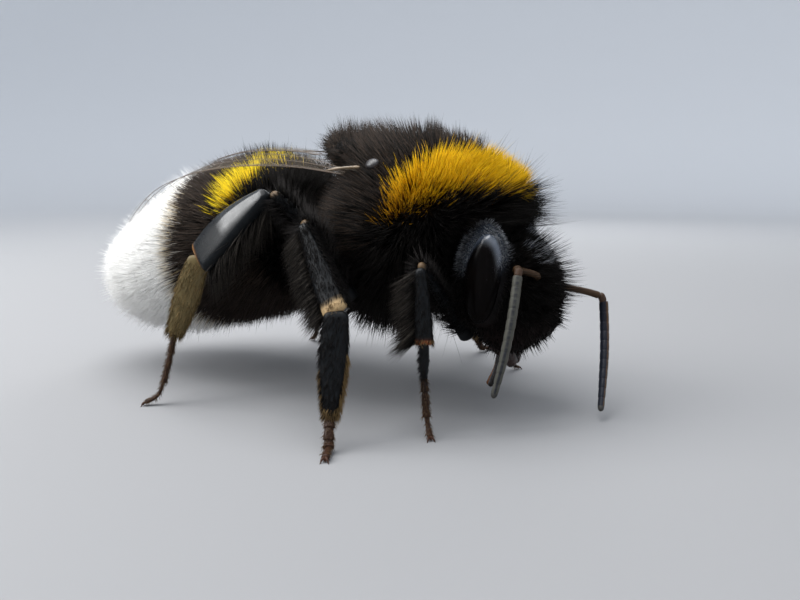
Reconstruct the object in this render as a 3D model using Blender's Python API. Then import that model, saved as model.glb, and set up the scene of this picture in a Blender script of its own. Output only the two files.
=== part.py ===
"""A life-size bumblebee, a young buff-tailed queen, standing still on its six feet.

Sizes are in millimetres and become Blender's metres through MM. +X points to the head, +Y to the
bee's left and +Z up, and the feet stand on z = 0. Each solid reaches to the tips of the coat.
The bee's own coordinates start under the middle of its thorax, and an empty carries them to the
part's origin, which lies under the middle of the whole bee.
"""

import math

import bmesh
import bpy
import numpy as np
from mathutils import Euler, Vector

MM = 0.001
THORAX_AHEAD = 4.89  # from the part's origin forward to the middle of the thorax
GAP = 0.05  # between neighbouring solids
LEFT, RIGHT = 1.0, -1.0  # the sign of y

# Body, from the rear forward: x, middle z, half height, half width of each section
THORAX_ROWS = (
    (-4.70, 6.35, 0.00, 0.00),
    (-4.35, 6.40, 2.10, 2.50),
    (-3.20, 6.45, 3.80, 3.75),
    (-1.80, 6.50, 4.36, 4.20),
    (-0.30, 6.42, 4.12, 4.25),
    (1.10, 6.50, 3.55, 3.80),
    (2.50, 6.85, 2.40, 2.90),
    (3.45, 7.20, 1.40, 1.80),
    (4.05, 7.35, 0.00, 0.00),
)
ABDOMEN_ROWS = (
    (-4.20, 6.50, 0.00, 0.00),
    (-4.70, 6.45, 2.20, 2.60),
    (-6.20, 6.15, 3.30, 3.70),
    (-8.50, 5.90, 3.72, 4.20),
    (-10.7, 5.20, 3.55, 4.10),
    (-12.7, 4.40, 3.05, 3.55),
    (-14.5, 3.95, 2.40, 2.75),
    (-15.9, 3.75, 1.40, 1.60),
    (-16.4, 3.70, 0.00, 0.00),
)
HEAD_ROWS = (  # from the mouth up: z, middle x, half depth, half width
    (2.05, 2.95, 0.00, 0.00),
    (2.25, 2.95, 0.75, 1.00),
    (3.10, 2.95, 1.55, 1.90),
    (4.30, 2.95, 1.90, 2.45),
    (5.40, 2.90, 1.75, 2.50),
    (6.30, 2.75, 1.20, 1.85),
    (6.70, 2.65, 0.60, 0.95),
    (6.80, 2.60, 0.00, 0.00),
)
BODY_SIDES = 22
BODY_RINGS = 17
THORAX_TILT, ABDOMEN_TILT = -12.0, 12.0  # degrees: how far the top of a section leans to the rear
TUFT_CENTRE, TUFT_RADII, TUFT_TILT = (-2.95, 0.0, 9.35), (1.70, 2.50, 1.10), 20.0

# Colour bands: a point on each cut, and how far its top leans to the rear in degrees
COLLAR_REAR, COLLAR_REAR_LEAN = (-0.70, 0.0, 8.0), -25.0
COLLAR_LOW, COLLAR_LOW_RISE = (0.0, 0.0, 7.2), 17.0
ABDOMEN_CUTS = (
    ("abdomen_base", None),
    ("abdomen_band", ((-6.15, 0.0, 7.8), 30.0)),
    ("abdomen_rear", ((-8.20, 0.0, 7.8), 22.0)),
    ("abdomen_tail", ((-9.95, 0.0, 5.5), 4.0)),
)

# Eyes
EYE_CENTRE, EYE_RADII, EYE_LEAN = (2.62, 2.15, 4.95), (0.76, 0.50, 1.70), 7.0

# Feelers: the right one hangs in front of the face, the left one reaches ahead
FEELER_RADIUS = 0.25
SOCKETS_APART = 1.1
SOCKET_X, SOCKET_Z = 3.57, 4.41
# elbow and bow of the first joint, then bend and tip of the whip
RIGHT_FEELER = ((3.82, -2.30, 5.52), (4.85, -1.25, 5.30), (3.74, -3.05, 3.30), (3.42, -3.45, 1.40))
LEFT_FEELER = ((5.86, 1.50, 4.18), (4.60, 0.95, 4.65), (6.14, 1.35, 2.78), (6.46, -0.55, 0.50))

# Legs, for the right side: body joint, knee, end of shin, end of first foot joint, claws
LEGS = {
    "fore": ((1.30, -1.80, 3.60), (1.13, -4.50, 5.80), (1.33, -4.60, 3.10), (1.20, -4.30, 1.90),
             (1.75, -4.95, 0.0)),
    "mid": ((-1.50, -2.20, 3.60), (-3.33, -4.60, 7.05), (-1.20, -6.00, 4.20), (-1.00, -6.85, 0.95),
            (-0.45, -8.05, 0.0)),
    "hind": ((-3.00, -2.30, 3.70), (-4.75, -4.30, 8.05), (-7.70, -4.85, 5.50), (-8.65, -5.30, 2.65),
             (-9.50, -6.10, 0.0)),
}
FEMUR = {"fore": (0.42, 0.36), "mid": (0.48, 0.38), "hind": (0.55, 0.40)}  # half breadth, half depth
TIBIA = {"fore": (0.30, 0.62, 0.34), "mid": (0.36, 0.85, 0.38), "hind": (0.34, 0.88, 0.34)}
BASITARSUS = {"fore": (0.30, 0.27), "mid": (0.56, 0.28), "hind": (0.62, 0.28)}
TARSUS = (0.27, 0.25)
SOLE_DEPTH = 0.45  # of the last foot joint's depth that is left over the flat sole
LEG_SIDES = 12

# Wings, folded back: the run of the front edge, and how much each section there rises for each
# millimetre towards the midline
WING_EDGE = (
    (-1.9, -2.95, 8.95, 0.13),
    (-5.0, -3.50, 9.35, 0.22),
    (-8.3, -3.65, 9.15, 0.30),
    (-11.3, -3.35, 8.35, 0.29),
    (-14.3, -2.50, 6.40, 0.26),
)
WING_THICK = 0.52
FORE_WIDE, HIND_WIDE = 2.45, 1.05
HIND_REACH = 0.70  # the hind wing's length as a share of the fore wing's

BLACK, BROWN = (0.018, 0.015, 0.013), (0.10, 0.06, 0.035)
GOLD, LEMON, WHITE = (0.72, 0.42, 0.03), (0.86, 0.68, 0.08), (0.86, 0.83, 0.76)
GLASSY, SMOKE = (0.006, 0.006, 0.008), (0.30, 0.24, 0.16)
OLIVE = (0.30, 0.22, 0.09)


def clear_scene():
    for obj in list(bpy.data.objects):
        bpy.data.objects.remove(obj, do_unlink=True)


def collection(name):
    made = bpy.data.collections.new(name)
    bpy.context.scene.collection.children.link(made)
    return made


def material(name, colour, roughness):
    made = bpy.data.materials.new(name)
    made.use_nodes = True
    shader = made.node_tree.nodes["Principled BSDF"]
    shader.inputs["Base Color"].default_value = (*colour, 1.0)
    shader.inputs["Roughness"].default_value = roughness
    return made


def smooth_rows(rows, count):
    """count rows read from a Catmull-Rom curve through the given ones, closer together at both ends."""
    table = np.array(rows, float)
    padded = np.vstack([2 * table[0] - table[1], table, 2 * table[-1] - table[-2]])
    found = []
    for step in range(count):
        place = 0.5 * (1 - math.cos(math.pi * step / (count - 1))) * (len(table) - 1)
        first = min(int(place), len(table) - 2)
        t = place - first
        a, b, c, d = padded[first : first + 4]
        found.append(0.5 * (2 * b + (c - a) * t + (2 * a - 5 * b + 4 * c - d) * t**2
                            + (3 * b - a - 3 * c + d) * t**3))
    found[0], found[-1] = table[0], table[-1]
    return found


def loft(name, sections, sides, anchor):
    """A closed solid through elliptical sections, each (centre, across, over), with a point at each end.

    across and over are the ellipse's two half axes as vectors. The first and last sections give
    only their centres. The object's origin is at the anchor.
    """
    bm = bmesh.new()
    rings = []
    for centre, across, over in sections[1:-1]:
        ring = []
        for side in range(sides):
            angle = 2 * math.pi * side / sides
            spot = Vector(centre) + Vector(across) * math.cos(angle) + Vector(over) * math.sin(angle)
            ring.append(bm.verts.new((spot - Vector(anchor)) * MM))
        rings.append(ring)
    for near, far in zip(rings, rings[1:]):
        for side in range(sides):
            after = (side + 1) % sides
            bm.faces.new((near[side], near[after], far[after], far[side]))
    for ring, end in ((rings[0], sections[0]), (rings[-1], sections[-1])):
        tip = bm.verts.new((Vector(end[0]) - Vector(anchor)) * MM)
        for side in range(sides):
            bm.faces.new((ring[side], ring[(side + 1) % sides], tip))
    bmesh.ops.recalc_face_normals(bm, faces=bm.faces)
    mesh = bpy.data.meshes.new(name)
    bm.to_mesh(mesh)
    bm.free()
    mesh.shade_smooth()
    obj = bpy.data.objects.new(name, mesh)
    obj.location = Vector(anchor) * MM
    return obj


def keep(obj, group, surface, bee):
    """Puts a finished solid in its collection, under the bee's empty, in its own material."""
    group.objects.link(obj)
    obj.parent = bee
    obj.data.materials.clear()
    obj.data.materials.append(surface)
    return obj


def boolean(target, cutter, operation):
    step = target.modifiers.new(operation.title(), "BOOLEAN")
    step.operation = operation
    step.solver = "EXACT"
    step.object = cutter


def baked(obj, name, group):
    """A plain mesh object with the modifiers' result, which replaces the one it came from."""
    bpy.context.view_layer.update()
    graph = bpy.context.evaluated_depsgraph_get()
    mesh = bpy.data.meshes.new_from_object(obj.evaluated_get(graph))
    made = bpy.data.objects.new(name, mesh)
    made.matrix_world = obj.matrix_world
    group.objects.link(made)
    bpy.data.objects.remove(obj, do_unlink=True)
    made.name = name
    return made


def grown(obj, group, by=GAP):
    """A cutter: a copy of a solid, pushed out along its normals by the gap."""
    copy = obj.data.copy()
    bm = bmesh.new()
    bm.from_mesh(copy)
    bmesh.ops.remove_doubles(bm, verts=bm.verts, dist=1e-7)
    bm.normal_update()
    places = [vert.co + vert.normal * by * MM for vert in bm.verts]
    for vert, place in zip(bm.verts, places):
        vert.co = place
    bm.to_mesh(copy)
    bm.free()
    made = bpy.data.objects.new("clear_" + obj.name, copy)
    made.location = obj.location
    made.hide_render = True
    made.display_type = "WIRE"
    group.objects.link(made)
    return made


def sliced(obj, point, normal, name):
    """The part of a solid on the far side of a plane, closed again, with the gap held back."""
    bm = bmesh.new()
    bm.from_mesh(obj.data)
    out = Vector(normal).normalized()
    spot = (Vector(point) + out * GAP * 0.5) * MM - obj.location
    whole = list(bm.verts) + list(bm.edges) + list(bm.faces)
    cut = bmesh.ops.bisect_plane(bm, geom=whole, plane_co=spot, plane_no=out, clear_inner=True)
    rim = [item for item in cut["geom_cut"] if isinstance(item, bmesh.types.BMEdge)]
    bmesh.ops.holes_fill(bm, edges=rim, sides=0)
    bmesh.ops.triangulate(bm, faces=[face for face in bm.faces if len(face.verts) > 4])
    bmesh.ops.recalc_face_normals(bm, faces=bm.faces)
    mesh = bpy.data.meshes.new(name)
    bm.to_mesh(mesh)
    bm.free()
    made = bpy.data.objects.new(name, mesh)
    made.location = obj.location
    return made


def body_sections(rows, count, tilt=0.0):
    """Upright sections along X whose tops lean to the rear by the tilt."""
    lean = math.radians(tilt)
    return [((x, 0, z), (0, wide, 0), (-tall * math.sin(lean), 0, tall * math.cos(lean)))
            for x, z, tall, wide in smooth_rows(rows, count)]


def ellipsoid(name, centre, radii, turn, sides, rings):
    """An ellipsoid whose poles lie along its own Z, turned by an Euler angle in degrees."""
    matrix = Euler([math.radians(angle) for angle in turn]).to_matrix()
    sections = []
    for ring in range(rings + 2):
        angle = math.pi * ring / (rings + 1)
        height, share = -math.cos(angle) * radii[2], math.sin(angle)
        spot = Vector(centre) + matrix @ Vector((0, 0, height))
        sections.append((spot, matrix @ Vector((radii[0] * share, 0, 0)),
                         matrix @ Vector((0, radii[1] * share, 0))))
    return loft(name, sections, sides, centre)


def limb(name, path, breadth, depth, outward, sides=LEG_SIDES, rings=7):
    """A round-ended rod along a path. breadth and depth give its half sizes from 0 to 1 along it.

    The depth lies along the outward direction and the breadth across it.
    """
    points = [Vector(spot) for spot in path]
    sections = [(points[0], None, None)]
    for ring in range(rings):
        t = 0.5 * (1 - math.cos(math.pi * (ring + 0.6) / (rings + 0.2)))
        if len(points) == 3:
            spot = (points[0] * (1 - t) ** 2 + points[1] * (2 * t * (1 - t)) + points[2] * t**2)
            along = (points[1] - points[0]).lerp(points[2] - points[1], t).normalized()
        else:
            spot = points[0].lerp(points[1], t)
            along = (points[1] - points[0]).normalized()
        out = (Vector(outward) - along * along.dot(Vector(outward))).normalized()
        end = min(1.0, math.sqrt(max(0.0, 1 - (2 * t - 1) ** 8)))
        sections.append((spot, along.cross(out) * breadth(t) * end, out * depth(t) * end))
    sections.append((points[-1], None, None))
    return loft(name, sections, sides, points[0])


def pulled_back(start, end, by=GAP):
    """start moved towards end by the gap."""
    start, end = Vector(start), Vector(end)
    return start + (end - start).normalized() * by


def mirrored(spot):
    return (spot[0], -spot[1], spot[2])


def make_body(parts, cutters, bee, surfaces):
    """Head, thorax with its collar, and the four lengths of the abdomen."""
    head = loft("head", [((x, 0, z), (deep, 0, 0), (0, wide, 0))
                         for z, x, deep, wide in smooth_rows(HEAD_ROWS, BODY_RINGS)],
                BODY_SIDES, (2.95, 0, 4.3))
    parts.objects.link(head)
    eyes, eye_rooms = {}, []
    for side, name in ((LEFT, "eye_left"), (RIGHT, "eye_right")):
        x, y, z = EYE_CENTRE
        eyes[name] = ellipsoid(name, (x, side * y, z), EYE_RADII, (0, EYE_LEAN, 0), 16, 9)
        parts.objects.link(eyes[name])
        eye_rooms.append(grown(eyes[name], cutters))
        boolean(head, eye_rooms[-1], "DIFFERENCE")
    head = baked(head, "head", parts)

    thorax = loft("thorax", body_sections(THORAX_ROWS, BODY_RINGS, THORAX_TILT), BODY_SIDES, (0, 0, 6.4))
    tuft = ellipsoid("tuft", TUFT_CENTRE, TUFT_RADII, (0, TUFT_TILT, 0), 16, 7)
    parts.objects.link(thorax)
    cutters.objects.link(tuft)
    tuft.hide_render, tuft.display_type = True, "WIRE"
    boolean(thorax, tuft, "UNION")
    whole = baked(thorax, "thorax_whole", cutters)
    whole.hide_render, whole.display_type = True, "WIRE"
    head_room = grown(head, cutters)

    rear = math.radians(COLLAR_REAR_LEAN)
    low = math.radians(COLLAR_LOW_RISE)
    ahead = Vector((math.cos(rear), 0, math.sin(rear)))
    above = Vector((-math.sin(low), 0, math.cos(low)))
    front = sliced(whole, COLLAR_REAR, ahead, "front")
    collar = sliced(front, COLLAR_LOW, above, "thorax_collar")
    breast = sliced(front, COLLAR_LOW, -above, "thorax_breast")
    back = sliced(whole, COLLAR_REAR, -ahead, "thorax_back")
    made = {"head": head, "thorax_collar": collar, "thorax_breast": breast, "thorax_back": back, **eyes}
    for piece in (collar, breast):
        parts.objects.link(piece)
        for room in (head_room, *eye_rooms):
            boolean(piece, room, "DIFFERENCE")
    parts.objects.link(back)
    body_room = grown(whole, cutters)

    rest = loft("abdomen", body_sections(ABDOMEN_ROWS, BODY_RINGS + 4, ABDOMEN_TILT), BODY_SIDES,
                (-8.6, 0, 5.9))
    abdomen = rest.copy()
    abdomen.data = rest.data.copy()
    abdomen.name = "abdomen_whole"
    abdomen.hide_render, abdomen.display_type = True, "WIRE"
    cutters.objects.link(abdomen)
    for place, (name, cut) in enumerate(ABDOMEN_CUTS):
        piece = rest
        if cut:
            lean = math.radians(cut[1])
            piece = sliced(rest, cut[0], (-math.cos(lean), 0, -math.sin(lean)), "length")
        if place + 1 < len(ABDOMEN_CUTS):
            point, angle = ABDOMEN_CUTS[place + 1][1]
            lean = math.radians(angle)
            piece = sliced(piece, point, (math.cos(lean), 0, math.sin(lean)), name)
        piece.name = name
        parts.objects.link(piece)
        made[name] = piece
        if place < 2:
            boolean(piece, body_room, "DIFFERENCE")
    for leftover in [obj for obj in bpy.data.objects if not obj.users_collection]:
        bpy.data.objects.remove(leftover, do_unlink=True)
    for name, piece in list(made.items()):
        made[name] = baked(piece, name, parts) if piece.modifiers else piece
    looks = {"head": "black", "eye_left": "eye", "eye_right": "eye", "thorax_collar": "gold",
             "thorax_breast": "black", "thorax_back": "black", "abdomen_base": "black",
             "abdomen_band": "lemon", "abdomen_rear": "brown", "abdomen_tail": "white"}
    for name, piece in made.items():
        parts.objects.unlink(piece)
        keep(piece, parts, surfaces[looks[name]], bee)
    return head_room, body_room, grown(abdomen, cutters)


def make_mouth(parts, bee, surfaces, head_room):
    """The jaws and, below them, the folded tongue."""
    jaws = limb("mandibles", ((2.55, 0, 2.75), (2.65, 0, 1.55)), lambda t: 1.05 - 0.35 * t,
                lambda t: 0.55 - 0.15 * t, (1, 0, 0))
    tongue = limb("tongue", ((2.5, 0, 1.48), (2.1, 0, 0.62)), lambda t: 0.32, lambda t: 0.30, (1, 0, 0))
    for piece in (jaws, tongue):
        boolean(piece, head_room, "DIFFERENCE")
        keep(piece, parts, surfaces["black" if piece is jaws else "amber"], bee)


def make_feelers(parts, bee, surfaces, head_room):
    """Each feeler is a long first joint, and the whip beyond its elbow."""
    for side, word, route in ((LEFT, "left", LEFT_FEELER), (RIGHT, "right", RIGHT_FEELER)):
        elbow, bow, bend, tip = route
        socket = (SOCKET_X, side * SOCKETS_APART / 2, SOCKET_Z)
        out = (0, side, 0.3)
        scape = limb("scape_" + word, (socket, bow, elbow), lambda t: FEELER_RADIUS,
                     lambda t: FEELER_RADIUS, out, 10, 6)
        boolean(scape, head_room, "DIFFERENCE")
        start = pulled_back(elbow, bend, 0.12)
        control = Vector(bend) * 2 - (start + Vector(tip)) * 0.5
        whip = limb("flagellum_" + word, (start, control, tip), lambda t: FEELER_RADIUS,
                    lambda t: FEELER_RADIUS, out, 10, 9)
        for piece in (scape, whip):
            keep(piece, parts, surfaces["brown"], bee)


def foot(name, start, end):
    """The last foot joints: down from the first one, then flat on the floor."""
    sx, sy, sz = start
    ex, ey, _ = end
    low = TARSUS[1] * SOLE_DEPTH
    bend = (sx + 0.45 * (ex - sx), sy + 0.45 * (ey - sy), -low)
    rod = limb("rod", (start, bend, (ex, ey, low)), lambda t: TARSUS[0], lambda t: TARSUS[1],
               (0, 0, 1), 10, 8)
    flat = sliced(rod, (0, 0, -GAP * 0.5), (0, 0, 1), name)
    bpy.data.objects.remove(rod, do_unlink=True)
    return flat


def make_legs(parts, bee, surfaces, rooms):
    """Six legs, each in four lengths: thigh, shin, first foot joint, and the rest of the foot."""
    for pair, route in LEGS.items():
        for side, word in ((RIGHT, "right"), (LEFT, "left")):
            hip, knee, ankle, heel, toe = route if side == RIGHT else map(mirrored, route)
            out = (0.25, side, 0.1)
            wide, deep = FEMUR[pair]
            femur = limb(f"femur_{pair}_{word}", (hip, knee), lambda t: wide * (1 - 0.35 * t),
                         lambda t: deep * (1 - 0.2 * t), out)
            for room in rooms:
                boolean(femur, room, "DIFFERENCE")
            top, end, thick = TIBIA[pair]
            tibia = limb(f"tibia_{pair}_{word}", (pulled_back(knee, ankle, 0.22), ankle),
                         lambda t: top + (end - top) * math.sin(0.5 * math.pi * t) ** 1.3,
                         lambda t: thick, out)
            broad, slim = BASITARSUS[pair]
            first = limb(f"basitarsus_{pair}_{word}", (pulled_back(ankle, heel, 0.12), heel),
                         lambda t: broad * (1 - 0.15 * t), lambda t: slim, out)
            last = foot(f"tarsus_{pair}_{word}", pulled_back(heel, toe, 0.15), toe)
            hue = {"basitarsus": "olive" if pair == "hind" else "black"}
            for piece in (femur, tibia, first, last):
                kind = piece.name.split("_")[0]
                keep(piece, parts, surfaces[hue.get(kind, "black")], bee)


def make_wings(parts, bee, surfaces, rooms):
    """Fore and hind wing of each side, hooked edge to edge and folded back over the abdomen."""
    edge = smooth_rows(WING_EDGE, 60)
    for side, word in ((RIGHT, "right"), (LEFT, "left")):
        for kind, reach, count in (("fore", 1.0, 12), ("hind", HIND_REACH, 10)):
            sections = []
            for step in range(count):
                share = 0.5 * (1 - math.cos(math.pi * step / (count - 1)))
                x, y, z, rise = edge[min(int(round(share * reach * (len(edge) - 1))), len(edge) - 1)]
                inward = Vector((0, -side, rise)).normalized()
                up = Vector((0, side * rise, 1)).normalized() * (WING_THICK / 2)
                along = share * reach
                fore = FORE_WIDE * wing_profile(along)
                near, wide = (0.0, fore) if kind == "fore" else (fore + 0.12, hind_width(share))
                lead = Vector((x, -side * y, z))
                sections.append((lead + inward * (near + wide / 2), inward * wide / 2, up))
            wing = loft(f"wing_{kind}_{word}", sections, 12, sections[0][0])
            for room in rooms:
                boolean(wing, room, "DIFFERENCE")
            keep(wing, parts, surfaces["smoke"], bee)


def wing_profile(along):
    """The fore wing's width along its length: narrow root, widest past the middle, round tip."""
    root = 0.22 + 0.78 * math.sin(0.5 * math.pi * min(1.0, along / 0.6))
    return root * math.sqrt(max(0.02, 1 - max(0.0, (along - 0.58) / 0.42) ** 2.2))


def hind_width(share):
    return HIND_WIDE * (0.35 + 0.65 * math.sin(math.pi * min(1.0, 0.12 + share * 0.88)) ** 0.7)


def main():
    clear_scene()
    parts = collection("bumblebee")
    cutters = collection("cutters")
    surfaces = {
        "black": material("black coat", BLACK, 0.8), "brown": material("brown-black coat", BROWN, 0.7),
        "gold": material("golden coat", GOLD, 0.8), "lemon": material("lemon coat", LEMON, 0.8),
        "white": material("white coat", WHITE, 0.85), "eye": material("eye", GLASSY, 0.12),
        "olive": material("olive hairs", OLIVE, 0.6), "smoke": material("wing", SMOKE, 0.25),
        "amber": material("amber", (0.36, 0.13, 0.03), 0.35),
    }
    bee = bpy.data.objects.new("bee", None)
    bee.location = (THORAX_AHEAD * MM, 0, 0)
    cutters.objects.link(bee)
    head_room, body_room, abdomen_room = make_body(parts, cutters, bee, surfaces)
    make_mouth(parts, bee, surfaces, head_room)
    make_feelers(parts, bee, surfaces, head_room)
    make_legs(parts, bee, surfaces, (body_room, abdomen_room))
    make_wings(parts, bee, surfaces, (body_room, abdomen_room))
    for cutter in cutters.objects:
        if cutter.type == "MESH":
            cutter.parent = bee
            cutter.hide_render = True


main()
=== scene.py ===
"""The looks of a life-size bumblebee: skin, coat, eyes, feelers, legs and wings round its solids.

Shapes are worked out in millimetres, in the frame's own axes (+X to the head, +Y to the bee's left,
+Z up), and become metres when a mesh is made. One skin stands for the head, thorax and abdomen, and
the coat over it is made of tapered hairs that lie along a flow over the body.
"""

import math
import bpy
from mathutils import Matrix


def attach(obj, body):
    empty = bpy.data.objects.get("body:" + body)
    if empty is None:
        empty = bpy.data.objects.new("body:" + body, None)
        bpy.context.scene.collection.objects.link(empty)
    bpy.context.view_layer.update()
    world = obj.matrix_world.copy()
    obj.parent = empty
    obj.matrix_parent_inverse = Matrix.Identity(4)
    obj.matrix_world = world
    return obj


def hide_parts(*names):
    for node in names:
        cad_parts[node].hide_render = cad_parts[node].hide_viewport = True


bl_info = {
    "name": "Bumblebee",
    "version": (1, 0, 0),
    "blender": (4, 5, 0),
    "location": "3D View > Sidebar > Bumblebee",
    "description": "Dresses the solids of a bumblebee in skin, hairs, eyes, feelers, legs and wings",
    "category": "Add Mesh",
}

import bmesh
import bpy
import numpy as np
from bpy.props import FloatProperty, FloatVectorProperty, PointerProperty
from mathutils import Vector
from mathutils.bvhtree import BVHTree
from mathutils.kdtree import KDTree

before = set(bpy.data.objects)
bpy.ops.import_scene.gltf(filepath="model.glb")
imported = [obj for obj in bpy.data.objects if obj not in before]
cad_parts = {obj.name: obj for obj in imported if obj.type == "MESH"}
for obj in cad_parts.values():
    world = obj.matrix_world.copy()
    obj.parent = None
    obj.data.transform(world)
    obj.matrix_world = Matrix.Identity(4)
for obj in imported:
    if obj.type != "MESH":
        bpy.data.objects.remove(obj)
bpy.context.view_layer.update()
MM = 0.001
SIDES = {"right": -1.0, "left": 1.0}
PAIRS = ("fore", "mid", "hind")


# ---------------------------------------------------------------- reading the frame


def node_points(*names):
    """The corner points of some solids, in millimetres."""
    rows = []
    for name in names:
        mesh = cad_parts[name].data
        points = np.empty(len(mesh.vertices) * 3, np.float32)
        mesh.vertices.foreach_get("co", points)
        rows.append(points.reshape(-1, 3))
    return np.unique(np.round(np.vstack(rows).astype(float) / MM, 4), axis=0)


def node_faces(name):
    """(points, triangles) of one solid with its corners merged, in millimetres."""
    points, faces = mesh_arrays(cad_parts[name].data)
    points, index = np.unique(np.round(points / MM, 4), axis=0, return_inverse=True)
    return points, index.reshape(-1)[faces]


def mesh_arrays(mesh):
    """(points, triangles) of a mesh, in its own units."""
    mesh.calc_loop_triangles()
    points = np.empty(len(mesh.vertices) * 3, np.float32)
    mesh.vertices.foreach_get("co", points)
    faces = np.empty(len(mesh.loop_triangles) * 3, np.int32)
    mesh.loop_triangles.foreach_get("vertices", faces)
    return points.reshape(-1, 3).astype(float), faces.reshape(-1, 3)


def box_of(*names):
    """(lowest, highest) corner of the box round some solids, in millimetres."""
    points = node_points(*names)
    return points.min(0), points.max(0)


def centre_line(name, near, count=9):
    """Evenly spaced points along the middle of a rod-like solid, from its end nearest to a given point."""
    points = node_points(name)
    middle = points.mean(0)
    axis = np.linalg.svd(points - middle, full_matrices=False)[2][0]
    place = (points - middle) @ axis
    if abs(place.max() - (near - middle) @ axis) < abs(place.min() - (near - middle) @ axis):
        axis, place = -axis, -place
    edges = np.linspace(place.min(), place.max(), count - 1)
    line = [points[place.argmin()]]
    for low, high in zip(edges, edges[1:]):
        chosen = points[(place >= low - 1e-6) & (place <= high + 1e-6)]
        if len(chosen) > 3:
            line.append((chosen.min(0) + chosen.max(0)) / 2)
    line.append(points[place.argmax()])
    return along_line(line, np.linspace(0, 1, count))


SPARSE = [0, 2, 4, 6, -1]  # the points of a centre line that a smooth curve is drawn through
THORAX = ("thorax_back", "thorax_breast", "thorax_collar")
ABDOMEN = ("abdomen_base", "abdomen_band", "abdomen_rear", "abdomen_tail")
THORAX_LOW, THORAX_HIGH = box_of(*THORAX)
ABDOMEN_LOW, ABDOMEN_HIGH = box_of(*ABDOMEN)
HEAD_LOW, HEAD_HIGH = box_of("head")
EYE_LOW, EYE_HIGH = box_of("eye_right")
HEAD_MIDDLE = (HEAD_LOW + HEAD_HIGH) / 2
THORAX_MIDDLE = (THORAX_LOW + THORAX_HIGH) / 2
ABDOMEN_MIDDLE = (ABDOMEN_LOW + ABDOMEN_HIGH) / 2


# ---------------------------------------------------------------- settings


class BeeCoat(bpy.types.PropertyGroup):
    """Sizes and colours of the hairs"""
    thickness: FloatProperty(name="Hair thickness", description="Width of a hair at its root",
                             default=0.039 * MM, unit="LENGTH")
    amount: FloatProperty(name="Amount", description="Share of the full number of hairs",
                          default=1.0, subtype="FACTOR")
    black: FloatVectorProperty(name="Black", description="Black hairs", size=3, subtype="COLOR",
                               default=(0.0075, 0.006, 0.005))
    gold: FloatVectorProperty(name="Gold", description="Collar hairs", size=3, subtype="COLOR",
                              default=(0.93, 0.55, 0.005))
    lemon: FloatVectorProperty(name="Lemon", description="Hairs of the abdomen's band", size=3,
                               subtype="COLOR", default=(0.93, 0.70, 0.02))
    white: FloatVectorProperty(name="White", description="Tail hairs", size=3, subtype="COLOR",
                               default=(0.97, 0.96, 0.93))
    buff: FloatVectorProperty(name="Buff", description="Fringe before the white tail", size=3,
                              subtype="COLOR", default=(0.62, 0.47, 0.24))


class BeeSkin(bpy.types.PropertyGroup):
    """Depth of the skin under the coat's tips"""
    thorax_depth: FloatProperty(name="Thorax coat", description="How far the skin lies under the tips",
                                default=1.25 * MM, unit="LENGTH")
    abdomen_depth: FloatProperty(name="Abdomen coat", description="How far the skin lies under the tips",
                                 default=0.85 * MM, unit="LENGTH")
    face_depth: FloatProperty(name="Face coat", description="How far the skin lies under the tips",
                              default=0.50 * MM, unit="LENGTH")
    grain: FloatProperty(name="Grain", description="Size of the remeshing grid", default=0.13 * MM,
                         unit="LENGTH")


class BeeStage(bpy.types.PropertyGroup):
    """The camera's angles and lens"""
    turn: FloatProperty(name="Turn", description="Camera's angle round the bee", subtype="ANGLE",
                        default=math.radians(25.0))
    rise: FloatProperty(name="Rise", description="Camera's angle above the level", subtype="ANGLE",
                        default=math.radians(10.0))
    lens: FloatProperty(name="Lens", description="Focal length in millimetres", default=35.0)


# ---------------------------------------------------------------- meshes from arrays


def new_object(name, data):
    """An object of this data, in the scene."""
    obj = bpy.data.objects.new(name, data)
    bpy.context.scene.collection.objects.link(obj)
    return obj


def evaluated(obj):
    """A plain mesh of an object with its modifiers applied."""
    bpy.context.view_layer.update()
    graph = bpy.context.evaluated_depsgraph_get()
    return bpy.data.meshes.new_from_object(obj.evaluated_get(graph))


def tri_object(name, points, faces):
    """A smooth-shaded mesh object from millimetre points and triangles or quads."""
    mesh = bpy.data.meshes.new(name)
    faces = np.asarray(faces)
    corners = faces.shape[1]
    mesh.vertices.add(len(points))
    mesh.vertices.foreach_set("co", (np.asarray(points) * MM).astype(np.float32).ravel())
    mesh.loops.add(faces.size)
    mesh.loops.foreach_set("vertex_index", faces.astype(np.int32).ravel())
    mesh.polygons.add(len(faces))
    mesh.polygons.foreach_set("loop_start", np.arange(0, faces.size, corners, dtype=np.int32))
    mesh.update(calc_edges=True)
    mesh.shade_smooth()
    return new_object(name, mesh)


def with_values(obj, name, values):
    """Gives each point of an object one number under this name."""
    layer = obj.data.attributes.new(name, "FLOAT", "POINT")
    layer.data.foreach_set("value", np.asarray(values, np.float32))


def tree_of(points, faces):
    """A tree for looking up where a mesh is nearest and where rays meet it."""
    return BVHTree.FromPolygons(points.tolist(), faces.tolist())


def nearest_of(spots, rows):
    """The place in spots of the one nearest to each row."""
    tree = KDTree(len(spots))
    for place, spot in enumerate(spots.tolist()):
        tree.insert(spot, place)
    tree.balance()
    return [tree.find(row)[1] for row in rows.tolist()]


def above_floor(points):
    """The points, those under the floor brought up to it."""
    return np.maximum(points, (-np.inf, -np.inf, 0.0))


def joined(shapes):
    """One (points, faces) pair from several that share a face size."""
    points, faces, start = [], [], 0
    for spots, corners in shapes:
        points.append(spots)
        faces.append(np.asarray(corners) + start)
        start += len(spots)
    return np.vstack(points), np.vstack(faces)


def normals_of(points, faces):
    """Area-weighted unit normals at the points."""
    a, b, c = (points[faces[:, k]] for k in range(3))
    across = np.cross(b - a, c - a)
    total = np.zeros_like(points)
    for corner in range(3):
        for axis in range(3):
            total[:, axis] += np.bincount(faces[:, corner], across[:, axis], len(points))
    return unit(total)


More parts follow.
